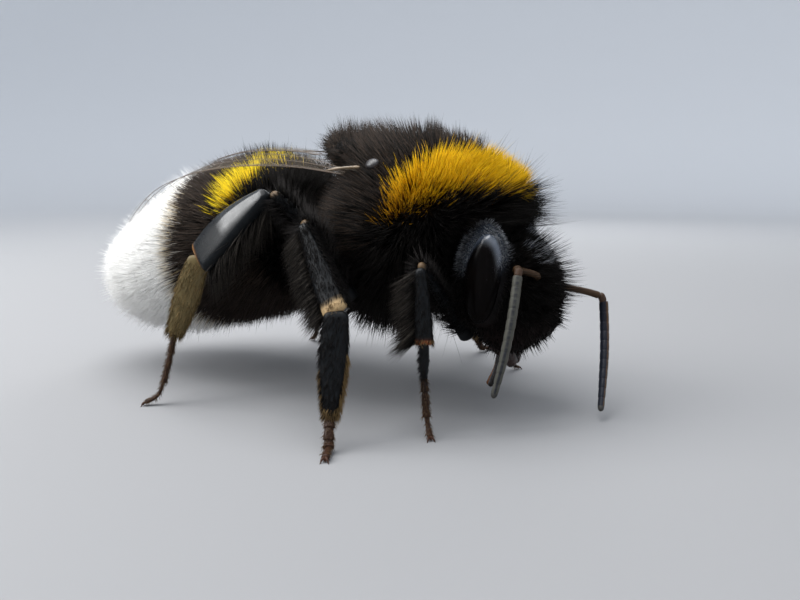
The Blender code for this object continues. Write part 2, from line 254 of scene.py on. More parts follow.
def unit(rows):
    """The rows made one long."""
    rows = np.asarray(rows, float)
    return rows / np.maximum(np.linalg.norm(rows, axis=-1, keepdims=True), 1e-12)


def relaxed(points, faces, rounds):
    """Points moved halfway to the mean of their neighbours, a few times."""
    ends = np.concatenate([faces[:, [0, 1]], faces[:, [1, 2]], faces[:, [2, 0]]])
    count = np.bincount(ends[:, 0], minlength=len(points))[:, None]
    for _ in range(rounds):
        mean = np.stack([np.bincount(ends[:, 0], points[ends[:, 1], axis], len(points))
                         for axis in range(points.shape[1])], 1) / np.maximum(count, 1)
        points = points + (mean - points) * 0.5
    return points


def remeshed(points, faces, grain):
    """The shapes made one closed skin on a grid of this many millimetres."""
    mesh = bpy.data.meshes.new("clay")
    mesh.from_pydata(points.tolist(), [], faces.tolist())
    obj = new_object("clay", mesh)
    step = obj.modifiers.new("Voxels", "REMESH")
    step.mode = "VOXEL"
    step.voxel_size = grain
    made = evaluated(obj)
    found = mesh_arrays(made)
    bpy.data.objects.remove(obj, do_unlink=True)
    bpy.data.meshes.remove(mesh)
    bpy.data.meshes.remove(made)
    return found


def loft(path, across, over, sides=20, square=2.0):
    """(points, triangles) of a closed tube through rings; across and over hold a half axis per ring.

    square is the power of the section: 2 is an ellipse, more is boxier. The first and last points of
    the path are the tube's two ends.
    """
    path, across, over = (np.asarray(rows, float) for rows in (path, across, over))
    angle = np.arange(sides) * 2 * math.pi / sides
    cos, sin = np.cos(angle), np.sin(angle)
    reach = (np.abs(cos) ** square + np.abs(sin) ** square) ** (-1 / square)
    u, v = (cos * reach)[None, :, None], (sin * reach)[None, :, None]
    rings = path[1:-1, None] + across[1:-1, None] * u + over[1:-1, None] * v
    count = len(path) - 2
    points = np.vstack([rings.reshape(-1, 3), path[:1], path[-1:]])
    ring, side = np.meshgrid(np.arange(count - 1), np.arange(sides), indexing="ij")
    a = (ring * sides + side).ravel()
    b = (ring * sides + (side + 1) % sides).ravel()
    c, d = b + sides, a + sides
    first, last = count * sides, count * sides + 1
    side = np.arange(sides)
    after = (side + 1) % sides
    end = (count - 1) * sides
    faces = np.vstack([np.stack([a, b, c], 1), np.stack([a, c, d], 1),
                       np.stack([after, side, np.full(sides, first)], 1),
                       np.stack([end + side, end + after, np.full(sides, last)], 1)])
    a, b, c = (points[faces[:, k]] for k in range(3))
    if np.einsum("ij,ij->i", a - path.mean(0), np.cross(b - a, c - a)).sum() < 0:
        faces = faces[:, ::-1]
    return points, faces


def along_line(line, shares):
    """Points at these shares of a polyline's length, read from a smooth curve through it."""
    line = np.asarray(line, float)
    steps = np.concatenate([[0], np.cumsum(np.linalg.norm(np.diff(line, axis=0), axis=1))])
    place = np.asarray(shares) * steps[-1]
    tangent = np.gradient(line, steps, axis=0)
    index = np.clip(np.searchsorted(steps, place, "right") - 1, 0, len(line) - 2)
    span = (steps[index + 1] - steps[index])[:, None]
    t = ((place - steps[index])[:, None]) / span
    return ((2 * t**3 - 3 * t**2 + 1) * line[index] + (t**3 - 2 * t**2 + t) * span * tangent[index]
            + (3 * t**2 - 2 * t**3) * line[index + 1] + (t**3 - t**2) * span * tangent[index + 1])


def frames_along(path, out):
    """(along, across, out) unit directions at each point of a path, out as near the hint as it can be."""
    along = unit(np.gradient(np.asarray(path, float), axis=0))
    out = np.broadcast_to(np.asarray(out, float), along.shape)
    out = unit(out - along * (along * out).sum(1, keepdims=True))
    return along, np.cross(along, out), out


def rod(line, wide, deep, out, rings=24, sides=20):
    """A loft along a line whose half sizes are functions of the share of its length."""
    share = 0.5 * (1 - np.cos(np.linspace(0, math.pi, rings + 2)))
    path = along_line(line, share)
    _, across, over = frames_along(path, out)
    wides = np.array([wide(t) for t in share])[:, None]
    deeps = np.array([deep(t) for t in share])[:, None]
    return loft(path, across * wides, over * deeps, sides)


def round_rod(line, radius, out, rings=24, sides=20):
    """A rod whose section is a circle."""
    return rod(line, radius, radius, out, rings, sides)


def rounded(t, start=0.06, end=0.06):
    """1 along most of a rod, falling to 0 like a dome at both ends."""
    low = 1.0 if t >= start else max(0.0, 1 - (1 - t / start) ** 2) ** 0.5
    high = 1.0 if t <= 1 - end else max(0.0, 1 - (1 - (1 - t) / end) ** 2) ** 0.5
    return low * high


def step_between(value, low, high):
    """0 below low, 1 above high, and a smooth slope between them."""
    t = np.clip((np.asarray(value, float) - low) / (high - low), 0, 1)
    return t * t * (3 - 2 * t)


def mixed(first, second, share):
    """Rows between the first and the second, one for each share."""
    share = np.asarray(share)[..., None]
    return np.asarray(first) * (1 - share) + np.asarray(second) * share


def finish(obj, slot, *nodes):
    """Rides on the bee and stands for some solids. The slot is not used.

    A piece called as one of them is, is renamed, so that no two have one name.
    """
    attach(obj, "root")
    if nodes:
        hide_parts(*nodes)
        plain = obj.name.split(".")[0]
        if plain in nodes:
            obj.name = plain + "_dressed"
    return obj


# ---------------------------------------------------------------- finishes


class Value:
    """A shader socket that sums, products and differences can be written with."""

    def __init__(self, surface, socket):
        self.surface = surface
        self.socket = socket

    def math(self, operation, first, second):
        """The value that one Math node gives."""
        return self.surface.node("ShaderNodeMath", {"operation": operation}, {0: first, 1: second})

    def __add__(self, other):
        return self.math("ADD", self, other)

    def __sub__(self, other):
        return self.math("SUBTRACT", self, other)

    def __rsub__(self, other):
        return self.math("SUBTRACT", other, self)

    def __mul__(self, other):
        return self.math("MULTIPLY", self, other)

    __radd__ = __add__
    __rmul__ = __mul__


class Surface:
    """A material being made, with its Principled shader."""

    def __init__(self, name):
        self.material = bpy.data.materials.new(name)
        self.material.use_nodes = True
        self.tree = self.material.node_tree
        self.shader = self.tree.nodes["Principled BSDF"]

    def node(self, kind, settings, sockets, output=0):
        """A node with its settings made first and then its sockets given values or links."""
        made = self.tree.nodes.new(kind)
        for name, value in settings.items():
            setattr(made, name, value)
        for name, value in sockets.items():
            self.put(made.inputs[name], value)
        return Value(self, made.outputs[output])

    def put(self, socket, value):
        """Gives a socket a link from a Value, or else a plain value."""
        if isinstance(value, Value):
            self.tree.links.new(value.socket, socket)
        else:
            socket.default_value = value

    def feed(self, **sockets):
        """Gives the shader's sockets their values, an underscore standing for a space."""
        for name, value in sockets.items():
            self.put(self.shader.inputs[name.replace("_", " ")], value)
        return self

    def mix(self, share, first, second, blend="MIX"):
        """A colour between two colours."""
        return self.node("ShaderNodeMix", {"data_type": "RGBA", "blend_type": blend},
                         {0: share, 6: first, 7: second}, 2)

    def place(self):
        """Where a point of the surface is, in metres."""
        return self.node("ShaderNodeTexCoord", {}, {}, "Object")

    def noise(self, size):
        """Cloudy noise from 0 to 1 whose lumps are about this many millimetres across."""
        return self.node("ShaderNodeTexNoise", {}, {"Vector": self.place(), "Scale": 1 / (size * MM),
                                                    "Detail": 3.0}, "Fac")

    def cells(self, size):
        """Distance from the middle of rounded cells about this many millimetres across."""
        return self.node("ShaderNodeTexVoronoi", {}, {"Vector": self.place(),
                         "Scale": 1 / (size * MM)}, "Distance")

    def bump(self, height, depth, strength):
        """Tilts the surface as if it rose by this many millimetres where the height is 1."""
        normal = self.node("ShaderNodeBump", {}, {"Height": height, "Distance": depth * MM,
                                                  "Strength": strength})
        return self.feed(Normal=normal)

    def tint(self):
        """The tint of the piece's own points."""
        return self.node("ShaderNodeAttribute", {"attribute_name": "tint"}, {}, "Color")

    def rim(self):
        """The share of gloss of the piece's own points; on the eyes also the share of painted reflection in
        their colour.
        """
        return self.node("ShaderNodeAttribute", {"attribute_name": "rim"}, {}, "Fac")

    def shaded_tint(self, shade):
        """The tint, darker and brighter with a grey shade."""
        grey = self.node("ShaderNodeCombineColor", {}, {0: shade, 1: shade, 2: shade})
        return self.mix(1.0, self.tint(), grey, "MULTIPLY")


def coat_finish():
    """Hairs: their own tints, a little brighter and darker in places."""
    hair = Surface("coat")
    colour = hair.shaded_tint(hair.noise(0.5) * 0.5 + 0.75)
    return hair.feed(Base_Color=colour, Roughness=0.6, Specular_IOR_Level=0.10).material


def shell_finish(name, roughness, grain, depth, specular=0.5):
    """Horny skin: its own tints, pitted and slightly uneven in its shine."""
    shell = Surface(name)
    colour = shell.shaded_tint(shell.noise(grain * 6) * 0.6 + 0.7)
    shell.feed(Base_Color=colour, Roughness=shell.noise(grain * 3) * 0.25 + (roughness - 0.12),
               Specular_IOR_Level=specular)
    return shell.bump(shell.cells(grain), depth, 0.6).material


def basket_finish():
    """Dark horn with a polished field."""
    basket = Surface("basket")
    basket.feed(Base_Color=basket.tint(), Roughness=basket.noise(0.5) * 0.10 + 0.22, Specular_IOR_Level=0.10,
                Coat_Weight=basket.rim() * (basket.noise(0.35) * 0.7 + 0.4), Coat_Roughness=0.08,
                Coat_IOR=1.55)
    return basket.material


def eye_finish():
    """Nearly black facets under a clear gloss along the upper rim, paled there by a painted reflection."""
    eye = Surface("eye")
    colour = eye.mix(eye.noise(0.8), (0.001, 0.001, 0.0014, 1), (0.005, 0.0035, 0.003, 1))
    rim = eye.rim()
    # Pale bluish grey mixed into the colour along the rim: a painted reflection, under the real clear gloss.
    colour = eye.mix(rim * rim, colour, (0.085, 0.10, 0.13, 1))
    eye.feed(Base_Color=colour, Roughness=eye.noise(0.4) * 0.05 + 0.16, Specular_IOR_Level=0.04,
             Coat_Weight=rim, Coat_Roughness=0.16, Coat_IOR=1.9)
    return eye.bump(eye.cells(0.035), 0.002, 0.12).material


def wing_finish():
    """A smoky clear membrane."""
    wing = Surface("wing")
    colour = wing.mix(wing.noise(1.2), (0.18, 0.13, 0.08, 1), (0.30, 0.24, 0.17, 1))
    wing.feed(Base_Color=colour, Roughness=wing.noise(0.3) * 0.15 + 0.22,
              Alpha=wing.noise(0.9) * 0.06 + 0.03, Specular_IOR_Level=0.2)
    return wing.bump(wing.noise(0.12), 0.01, 0.5).material


def paper_finish(name, near, far):
    """Matt paper, a darker tone round the origin, painted shade under the bee, and a paler one towards the
    wall.
    """
    paper = Surface(name)
    reach = paper.node("ShaderNodeVectorMath", {"operation": "LENGTH"}, {0: paper.place()}, 1)
    share = paper.node("ShaderNodeMapRange", {"interpolation_type": "SMOOTHSTEP"},
                       {0: reach, 1: FLOOR_FADE[0] * MM, 2: FLOOR_FADE[1] * MM, 3: 0.0, 4: 1.0})
    tone = paper.mix(share, (*near, 1), (*far, 1))
    return paper.feed(Base_Color=tone, Roughness=0.85, Specular_IOR_Level=0.15).material


def painted(obj, material, tints):
    """Gives an object its material and the tints of its points."""
    obj.data.materials.append(material)
    return with_tints(obj, tints)


def with_tints(obj, tints):
    """Gives an object the tints of its points."""
    colours = np.ones((len(tints), 4), np.float32)
    colours[:, :3] = tints
    layer = obj.data.attributes.new("tint", "FLOAT_COLOR", "POINT")
    layer.data.foreach_set("color", colours.ravel())
    return obj


# ---------------------------------------------------------------- body skin

REGIONS = ("head", "thorax_collar", "thorax_breast", "thorax_back", "abdomen_base", "abdomen_band",
           "abdomen_rear", "abdomen_tail")
HEAD, COLLAR, BREAST, BACK, BASE, BAND, REAR, TAIL = range(len(REGIONS))
NODE_GROWTH = 0.07  # swells the solids until they join
JAW_TOP = HEAD_LOW[2] + 1.1
SKIN_STEPS = 6  # in which the skin is pushed in under the coat
SOCKET_APART = box_of("scape_left")[0][1] * 2 + 0.5  # between the hollows that hold the feelers
SOCKET_HEIGHT = box_of("scape_left")[0][2] + 0.28


def region_distances(points):
    """How far each point is from each region of the body, in millimetres."""
    found = np.empty((len(points), len(REGIONS)))
    rows = points.tolist()
    for place, name in enumerate(REGIONS):
        tree = tree_of(*node_faces(name))
        found[:, place] = [tree.find_nearest(row)[3] for row in rows]
    return found


def ball_of(name):
    """(centre, radii, axes as rows) of an egg-shaped solid, its long axis last."""
    points = node_points(name)
    centre = (points.min(0) + points.max(0)) / 2
    axes = np.linalg.svd(points - centre, full_matrices=False)[2][::-1]
    return centre, np.abs((points - centre) @ axes.T).max(0), axes


def egg_share(points, centre, radii, axes):
    """0 at the middle of an egg, 1 on its surface and more outside."""
    return np.linalg.norm((points - centre) @ axes.T / radii, axis=1)


def eye_nearness(points):
    """The share for the nearer eye of each point."""
    return np.minimum(*(egg_share(points, *ball_of("eye_" + side)) for side in SIDES))


def eye_gap(points):
    """About how far each point is outside the nearer eye, in millimetres."""
    found = []
    for side in SIDES:
        eye = ball_of("eye_" + side)
        share = np.maximum(egg_share(points, *eye), 0.05)
        found.append(np.linalg.norm(points - eye[0], axis=1) * (1 - 1 / share))
    return np.minimum(*found)


CHEEK_SHIFT, CHEEK_SWELL = (-0.28, -0.14, 0.22), (0.12, 0.40, 0.42)  # against the eye behind which it lies
NECK_DEPTH = 1.4  # of the skin where the thorax's outline runs on into the head's
RIM_DEPTH = 0.17  # of the skin round an eye
GROOVE_DEPTH = 0.38  # of the skin under it
# Bounds of the markings, in millimetres
TAIL_SHOULDER = 7.3  # the white sets in further back above this height
COLLAR_REAR = THORAX_MIDDLE[0] + 0.22  # at the sides; it bends forward to the middle of the back
COLLAR_FLOOR = 7.62  # at the collar's rear; it rises to COLLAR_TOP at the front
COLLAR_TOP = 8.5
BAND_FRONT, BAND_REAR, BAND_FLOOR = -1.60, -3.21, 7.45  # of the abdomen's band, at its sides
BAND_SHIFT = 0.35  # how far the tips of its leaning hairs lie behind their roots


def marked(tops):
    """region_distances with the bounds of collar, band and tail moved to the bee's own markings."""
    x, y, z = tops.T
    found = region_distances(tops)
    found[:, TAIL] += 0.42 * np.maximum(z - TAIL_SHOULDER, 0)
    thorax = np.minimum(x - (COLLAR_REAR + 0.77 * (3.2 - np.abs(y))),
                        z - np.minimum(COLLAR_FLOOR + 0.42 * (x - THORAX_MIDDLE[0] - 0.4), COLLAR_TOP))
    x = x - BAND_SHIFT
    front = BAND_FRONT - 0.85 * np.maximum(9.3 - z, 0) - 0.15 * np.maximum(1.5 - np.abs(y), 0)
    behind = BAND_REAR - 0.15 * (z - 7.4) + 1.25 * np.maximum(z - 8.6, 0)
    abdomen = np.minimum(np.minimum(front - x, x - behind), z - BAND_FLOOR)
    for chosen, margin, others in ((COLLAR, thorax, [BREAST, BACK]), (BAND, abdomen, [BASE, REAR, TAIL])):
        nearest = found[:, [chosen, *others]].min(1)
        second = found[:, others].min(1, keepdims=True)
        found[:, others] += (nearest + np.maximum(margin, 0))[:, None] - second
        found[:, chosen] = nearest + np.maximum(-margin, 0)
    for side in SIDES:
        found[egg_share(tops, *cheek(side)) < 1.08, HEAD] = -0.8
    return found


def cheek(side):
    """(centre, radii, axes) of the swelling that frames the upper and rear rim of an eye."""
    centre, radii, axes = ball_of("eye_" + side)
    return centre + np.array(CHEEK_SHIFT) * (1, SIDES[side], 1), radii + CHEEK_SWELL, axes


def body_depths(distances, settings):
    """How deep the thorax's and abdomen's skin lies, in millimetres, by the nearest region."""
    thorax, abdomen = settings.thorax_depth / MM, settings.abdomen_depth / MM
    depths = np.array([NECK_DEPTH, thorax, thorax, thorax * 1.2, thorax * 0.85, abdomen, abdomen,
                       abdomen * 1.1])
    return depths[distances.argmin(1)]


def head_depths(points, settings):
    """How deep the head's skin lies at points of the outline, in millimetres."""
    face = settings.face_depth / MM
    bare = 1 - step_between(points[:, 2], JAW_TOP, JAW_TOP + 1.2)
    behind = 1 - step_between(points[:, 0], HEAD_MIDDLE[0] - 0.2, HEAD_MIDDLE[0] + 0.9)
    head = face * (1 - 0.75 * bare) * (1 - 0.45 * behind)
    rim = 1 - step_between(eye_nearness(points), 1.15, 1.9)
    return head * (1 - rim) + RIM_DEPTH * rim


def under_eye(points):
    """How far the skin dips below the eyes, so that they stand in a groove of their own."""
    return GROOVE_DEPTH * (1 - step_between(eye_nearness(points), 0.86, 1.05))


def sunk(tops, faces, depth):
    """The skin under an outline: pushed in step by step and smoothed on the way."""
    skin = tops
    for _ in range(SKIN_STEPS):
        skin = skin - normals_of(skin, faces) * (depth / SKIN_STEPS)[:, None]
        skin = relaxed(skin, faces, 2)
    return skin


def necked(skin):
    """The front of the thorax drawn in behind the head, under its collar."""
    ahead = step_between(skin[:, 0], EYE_LOW[0] - 2.1, EYE_LOW[0] - 0.3)
    level = 1 - step_between(skin[:, 2], EYE_HIGH[2] - 0.1, EYE_HIGH[2] + 0.8)
    share = ahead * level
    drawn = skin.copy()
    drawn[:, 1] *= 1 - 0.55 * share
    drawn[:, 2] += (HEAD_MIDDLE[2] - skin[:, 2]) * 0.45 * share
    return drawn


def united(first, second):
    """One closed mesh from two that overlap."""
    made = [tri_object("shell", *shape) for shape in (first, second)]
    step = made[0].modifiers.new("Union", "BOOLEAN")
    step.operation = "UNION"
    step.solver = "MANIFOLD"
    step.object = made[1]
    mesh = evaluated(made[0])
    points, faces = mesh_arrays(mesh)
    bpy.data.meshes.remove(mesh)
    for obj in made:
        bpy.data.objects.remove(obj, do_unlink=True)
    return points / MM, faces


class BEE_OT_skin(bpy.types.Operator):
    """One closed skin for head, thorax and abdomen"""
    bl_idname = "bee.skin"
    bl_label = "Skin"

    def execute(self, context):
        settings = context.scene.bee_skin
        swollen = {}
        for name in (*REGIONS, "eye_left", "eye_right"):
            points, faces = node_faces(name)
            swollen[name] = (points + normals_of(points, faces) * NODE_GROWTH, faces)
        tops, faces = remeshed(*joined(swollen.values()), settings.grain / MM)
        tops = relaxed(tops, faces, 6)
        depth = body_depths(region_distances(tops), settings)
        depth = relaxed(depth[:, None], faces, 14)[:, 0]
        body = necked(sunk(tops, faces, depth)), faces
        head_shapes = [swollen[name] for name in ("head", "eye_left", "eye_right")]
        head_shapes += [ball(*cheek(side), 40, 26) for side in SIDES]
        head_tops, faces = remeshed(*joined(head_shapes), settings.grain / MM * 0.6)
        head_tops = relaxed(head_tops, faces, 6)
        depth = relaxed(head_depths(head_tops, settings)[:, None], faces, 14)[:, 0] + under_eye(head_tops)
        head = face_details(sunk(head_tops, faces, depth), head_tops), faces
        skin, faces = united(body, head)
        source = nearest_of(np.vstack([body[0], head[0]]), skin)
        tops = np.vstack([tops, head_tops])[source]
        obj = tri_object("skin", skin, faces)
        layer = obj.data.attributes.new("coat_top", "FLOAT_VECTOR", "POINT")
        layer.data.foreach_set("vector", tops.astype(np.float32).ravel())
        painted(obj, shell_finish("skin", 0.60, 0.07, 0.012, 0.08), skin_tints(skin, marked(tops)))
        finish(obj, "cuticle", *REGIONS)
        return {"FINISHED"}


def face_details(skin, tops):
    """The head's skin with its face shield, the hollows of the feelers and the cheeks' ridges."""
    x, y, z = skin.T
    front = step_between(x, HEAD_MIDDLE[0] + 0.4, HEAD_MIDDLE[0] + 1.0)
    shield = np.hypot(y / 1.05, (z - (JAW_TOP + 0.35)) / 0.85)
    rise = 0.16 * (1 - step_between(shield, 0.55, 1.1)) * front
    for sign in SIDES.values():
        pit = np.hypot(y - sign * SOCKET_APART / 2, z - SOCKET_HEIGHT)
        rise += (0.10 * np.exp(-((pit - 0.30) / 0.09) ** 2) - 0.16 * np.exp(-(pit / 0.2) ** 2)) * front
    out = unit(tops - skin)
    return skin + out * rise[:, None]


def skin_tints(skin, distances):
    """The coat's own markings, darker as painted shade under the hairs, with the bare parts of the head."""
    closeness = np.exp(-(distances - distances.min(1, keepdims=True)) / 0.15)
    shares = closeness / closeness.sum(1, keepdims=True)
    low = (step_between(belly_share(skin), 0.3, 0.6) * (1 - shares[:, TAIL]))[:, None]
    black = np.array((0.006, 0.005, 0.005))
    # Each marking's skin is darker than its hairs: painted shade between the hairs.
    colours = np.array([black, (0.20, 0.09, 0.004), black, black, black, (0.34, 0.20, 0.01),
                        black * 1.6, (0.72, 0.68, 0.60)])
    bright = shares @ colours
    tints = bright * (1 - low) + black * low
    jaw = (1 - step_between(skin[:, 2], JAW_TOP - 0.3, JAW_TOP + 0.9)) * shares[:, HEAD]
    tints = tints + (np.array((0.010, 0.005, 0.004)) - tints) * (jaw * 0.7)[:, None]
    # Pale bluish grey behind the eyes: partly the patch's own tone, partly painted sheen.
    grey_sheen = (gena_share(skin, eye_gap(skin)) * shares[:, HEAD])[:, None]
    return tints + (np.array((0.07, 0.085, 0.11)) - tints) * grey_sheen


def belly_share(points):
    """0 on the back and sides of the body, 1 along the middle of its underside."""
    middle = np.interp(points[:, 0], (ABDOMEN_LOW[0], ABDOMEN_MIDDLE[0], THORAX_MIDDLE[0], HEAD_HIGH[0]),
                       (3.6, 5.6, 6.2, 4.4))
    down = middle - points[:, 2]
    return np.clip(down / np.maximum(np.hypot(points[:, 1], down), 0.2), 0, 1) * (down > 0)


# ---------------------------------------------------------------- hairs


def strands(roots, start, end, length, width, bends=1):
    """(points, faces, along) of closed, three-sided tapering hairs.

    Each hair leaves its root along start and reaches its tip heading along end. along runs from 0 at
    the root to 1 at the tip, for each point.
    """
    count = len(roots)
    random = np.random.default_rng(count)
    helper = unit(random.normal(size=(count, 3)))
    side = unit(np.cross(start, helper))
    other = np.cross(unit(start), side)
    shares = np.linspace(0, 1, bends + 2)[:-1] ** 1.15
    rings = []
    for share in shares:
        spot = roots + length[:, None] * (start * (share - share**2 / 2) + end * (share**2 / 2))
        radius = (width / 2 * (1 - 0.75 * share))[:, None]
        for corner in range(3):
            angle = 2 * math.pi * corner / 3
            rings.append(spot + radius * (side * math.cos(angle) + other * math.sin(angle)))
    rings.append(roots + length[:, None] * (start + end) / 2)
    each = len(rings)
    points = np.stack(rings, 1).reshape(-1, 3)
    one = [(0, 2, 1)]
    for ring in range(len(shares) - 1):
        for corner in range(3):
            a, b = ring * 3 + corner, ring * 3 + (corner + 1) % 3
            one += [(a, b, b + 3), (a, b + 3, a + 3)]
    last = (len(shares) - 1) * 3
    one += [(last + corner, last + (corner + 1) % 3, each - 1) for corner in range(3)]
    faces = (np.array(one)[None] + (np.arange(count) * each)[:, None, None]).reshape(-1, 3)
    along = np.tile(np.append(np.repeat(shares, 3), 1.0), count)
    return points, faces, along


HAIR_PATCH = 0.003  # width of one hair's place on its map


def hair_object(name, hairs, material, slot="black_coat", bends=1):
    """A coat piece from hairs given as a dict of arrays, with its tints and its OFBake map."""
    points, faces, along = strands(hairs["root"], hairs["start"], hairs["end"], hairs["length"],
                                   hairs["width"], bends)
    each = 3 * (bends + 1) + 1
    low, high, place = (np.repeat(hairs[key], each, 0) for key in ("low", "high", "place"))
    obj = tri_object(name, above_floor(points), faces)
    # Each hair runs from its root colour to its tip colour; the darker roots are painted shade deep in the
    # coat.
    painted(obj, material, low + (high - low) * (along ** 0.8)[:, None])
    corner = np.tile(np.append(np.tile(np.arange(3) / 2, bends + 1), 0.5), len(hairs["root"]))
    place = place + np.stack([corner - 0.5, along - 0.5], 1) * HAIR_PATCH
    layer = obj.data.uv_layers.new(name="OFBake")
    layer.data.foreach_set("uv", np.clip(place, 0, 1)[faces.ravel()].astype(np.float32).ravel())
    return finish(obj, slot)


# Middle of each part of the body and the bounds of its band on the map; the legs have what is above
BALLS = ((HEAD_MIDDLE, 0.76, 0.88), (THORAX_MIDDLE, 0.40, 0.76), (ABDOMEN_MIDDLE, 0.0, 0.40))
LEG_BAND = (0.885, 0.11)  # start and height of the legs' band


def unwrap(points, part):
    """Places on the map: each part of the body is a band, its poles at its front and rear."""
    found = np.empty((len(points), 2))
    for place, (centre, low, high) in enumerate(BALLS):
        chosen = part == place
        ray = unit(points[chosen] - centre)
        found[chosen, 0] = np.arctan2(ray[:, 1], ray[:, 2]) / (2 * math.pi) + 0.5
        found[chosen, 1] = low + (high - low) * np.arccos(np.clip(ray[:, 0], -1, 1)) / math.pi
    return found


# Each region: hairs to the square millimetre, how far they lean, which way, and the share of stragglers
COAT = {
    HEAD: (400, 0.55, (0.25, 0.0, -0.30), 0.16),
    COLLAR: (700, 0.28, (0.35, 0.0, 0.15), 0.04),
    BREAST: (320, 0.50, (-0.30, 0.0, -0.60), 0.08),
    BACK: (400, 0.38, (-0.80, 0.0, 0.10), 0.10),
    BASE: (390, 0.50, (-0.30, 0.0, 0.50), 0.02),
    BAND: (700, 0.70, (-0.90, 0.0, -0.30), 0.01),
    REAR: (330, 0.75, (-1.0, 0.0, -0.20), 0.05),
    TAIL: (380, 0.55, (-1.0, 0.0, -0.10), 0.10),
}
DENSITY, LEAN, WAY, STRAGGLERS = (np.array([COAT[number][k] for number in sorted(COAT)], float)
                                  for k in range(4))
REGION_FUZZ = 0.16  # millimetres by which hairs of two regions mix
TUFT = 16  # hairs that come together at their tips
COAT_SEED, LEG_SEED = 41, 300
MOST_HAIRS = 19500  # in one mesh, at ten triangles each
NAPE_HEIGHTS, NAPE_LENGTHS = (8.3, 9.0, 9.6), (0.50, 0.78, 1.15)  # the thorax's rear hairs, by their height
BEAD_CLEAR = 0.20  # kept free of hairs round each simple eye
EYE_CLEAR, CHEEK_CLEAR = (1.1, 0.95, 0.97), (0.40, -0.16, -0.14)  # for the eye's and cheek's radii
BEADS = {"ocellus_right": (0.62, -0.28, 1.0), "ocellus_left": (0.62, 0.28, 1.0),
         "ocellus_middle": (0.95, 0, 1.0)}  # each simple eye's direction from the middle of the crown


def scattered(points, faces, weight, random):
    """Random spots on triangles: (triangle, corner shares). weight is hairs to the square millimetre."""
    a, b, c = (points[faces[:, k]] for k in range(3))
    area = np.linalg.norm(np.cross(b - a, c - a), axis=1) / 2
    expected = area * weight[faces].mean(1)
    count = (expected + random.random(len(faces))).astype(int)
    chosen = np.repeat(np.arange(len(faces)), count)
    first, second = random.random((2, len(chosen)))
    over = first + second > 1
    first[over], second[over] = 1 - first[over], 1 - second[over]
    return chosen, np.stack([1 - first - second, first, second], 1)


def waves(points, size, seed):
    """Three smooth random values for each point, which change over about this many millimetres."""
    random = np.random.default_rng(seed)
    total = np.zeros((len(points), 3))
    for _ in range(5):
        ways = random.normal(size=(3, 3)) * 2.2 / size
        total += np.sin(points @ ways + random.random(3) * 6.3)
    return total / 2.3


def coat_weight(skin, tops, region, gena, settings):
    """Hairs to the square millimetre at each point of the skin."""
    weight = DENSITY[region] * settings.amount
    bare_jaw = (1 - step_between(tops[:, 2], JAW_TOP - 0.2, JAW_TOP + 0.7)) * (region == HEAD)
    weight *= (1 - bare_jaw * 0.45) * (eye_nearness(tops) > 0.99)
    weight *= 1 + 1.2 * gena
    weight *= 1 - 0.55 * step_between(belly_share(tops), 0.5, 0.9)
    return weight * parting(skin, region)


def hair_lengths(root, top, depth, lean, region, gena, ruff, nape, random):
    """(length of each hair, True for the stragglers that stand out of the coat)."""
    count = len(root)
    in_head = region == HEAD
    stretch = np.where(region == COLLAR, 0.66, 0.74) + 0.40 * random.random(count) ** 1.3
    straggler = random.random(count) < STRAGGLERS[region] + 0.18 * ruff
    length = depth * stretch * (1 + 0.16 * lean)
    dip = np.exp(-((root[:, 0] - THORAX_MIDDLE[0] + 1.25) / 0.5) ** 2) * (root[:, 2] > 8.4)
    length = length * (1 + 0.30 * dip * (region == BACK)) * np.where(region == BAND, 1.12, 1.0)
    length = np.where((region == BASE) & (root[:, 2] > 7.4), length * 1.4, length)
    length = length * (1 + nape * (np.interp(top[:, 2], NAPE_HEIGHTS, NAPE_LENGTHS) - 1))
    length = length * (1 + nape * (0.35 * random.random(count) - 0.15))
    front = step_between(root[:, 0], HEAD_MIDDLE[0] + 0.3, HEAD_MIDDLE[0] + 1.4)
    on_face = 1 + (1 - gena) * (0.05 + 0.25 * front * random.random(count) ** 2)
    length = np.where(in_head, np.maximum(length, 0.22) * on_face, length)
    standing_out = np.where(in_head, 2.1, np.where(region == BACK, 1.10, 1.25 + 0.25 * ruff))
    length = np.where(straggler, length * standing_out, length)
    return np.where(gena > 0.02, np.minimum(length, 0.25 + 0.20 * (1 - gena)), length), straggler


def tufted(root, start, end, length, share, random):
    """The hairs' end directions, drawn towards the tip of one hair of their tuft."""
    count = len(root)
    middles = random.choice(count, count // TUFT, replace=False)
    nearest = middles[nearest_of(root[middles], root)]
    tip = root + length[:, None] * (start + end) / 2
    middle_tip = root[nearest] + length[:, None] * (start[nearest] + end[nearest]) / 2
    pull = (0.30 * random.random(count) * share)[:, None]
    return unit(end + (middle_tip - tip) / length[:, None] * pull * 2)


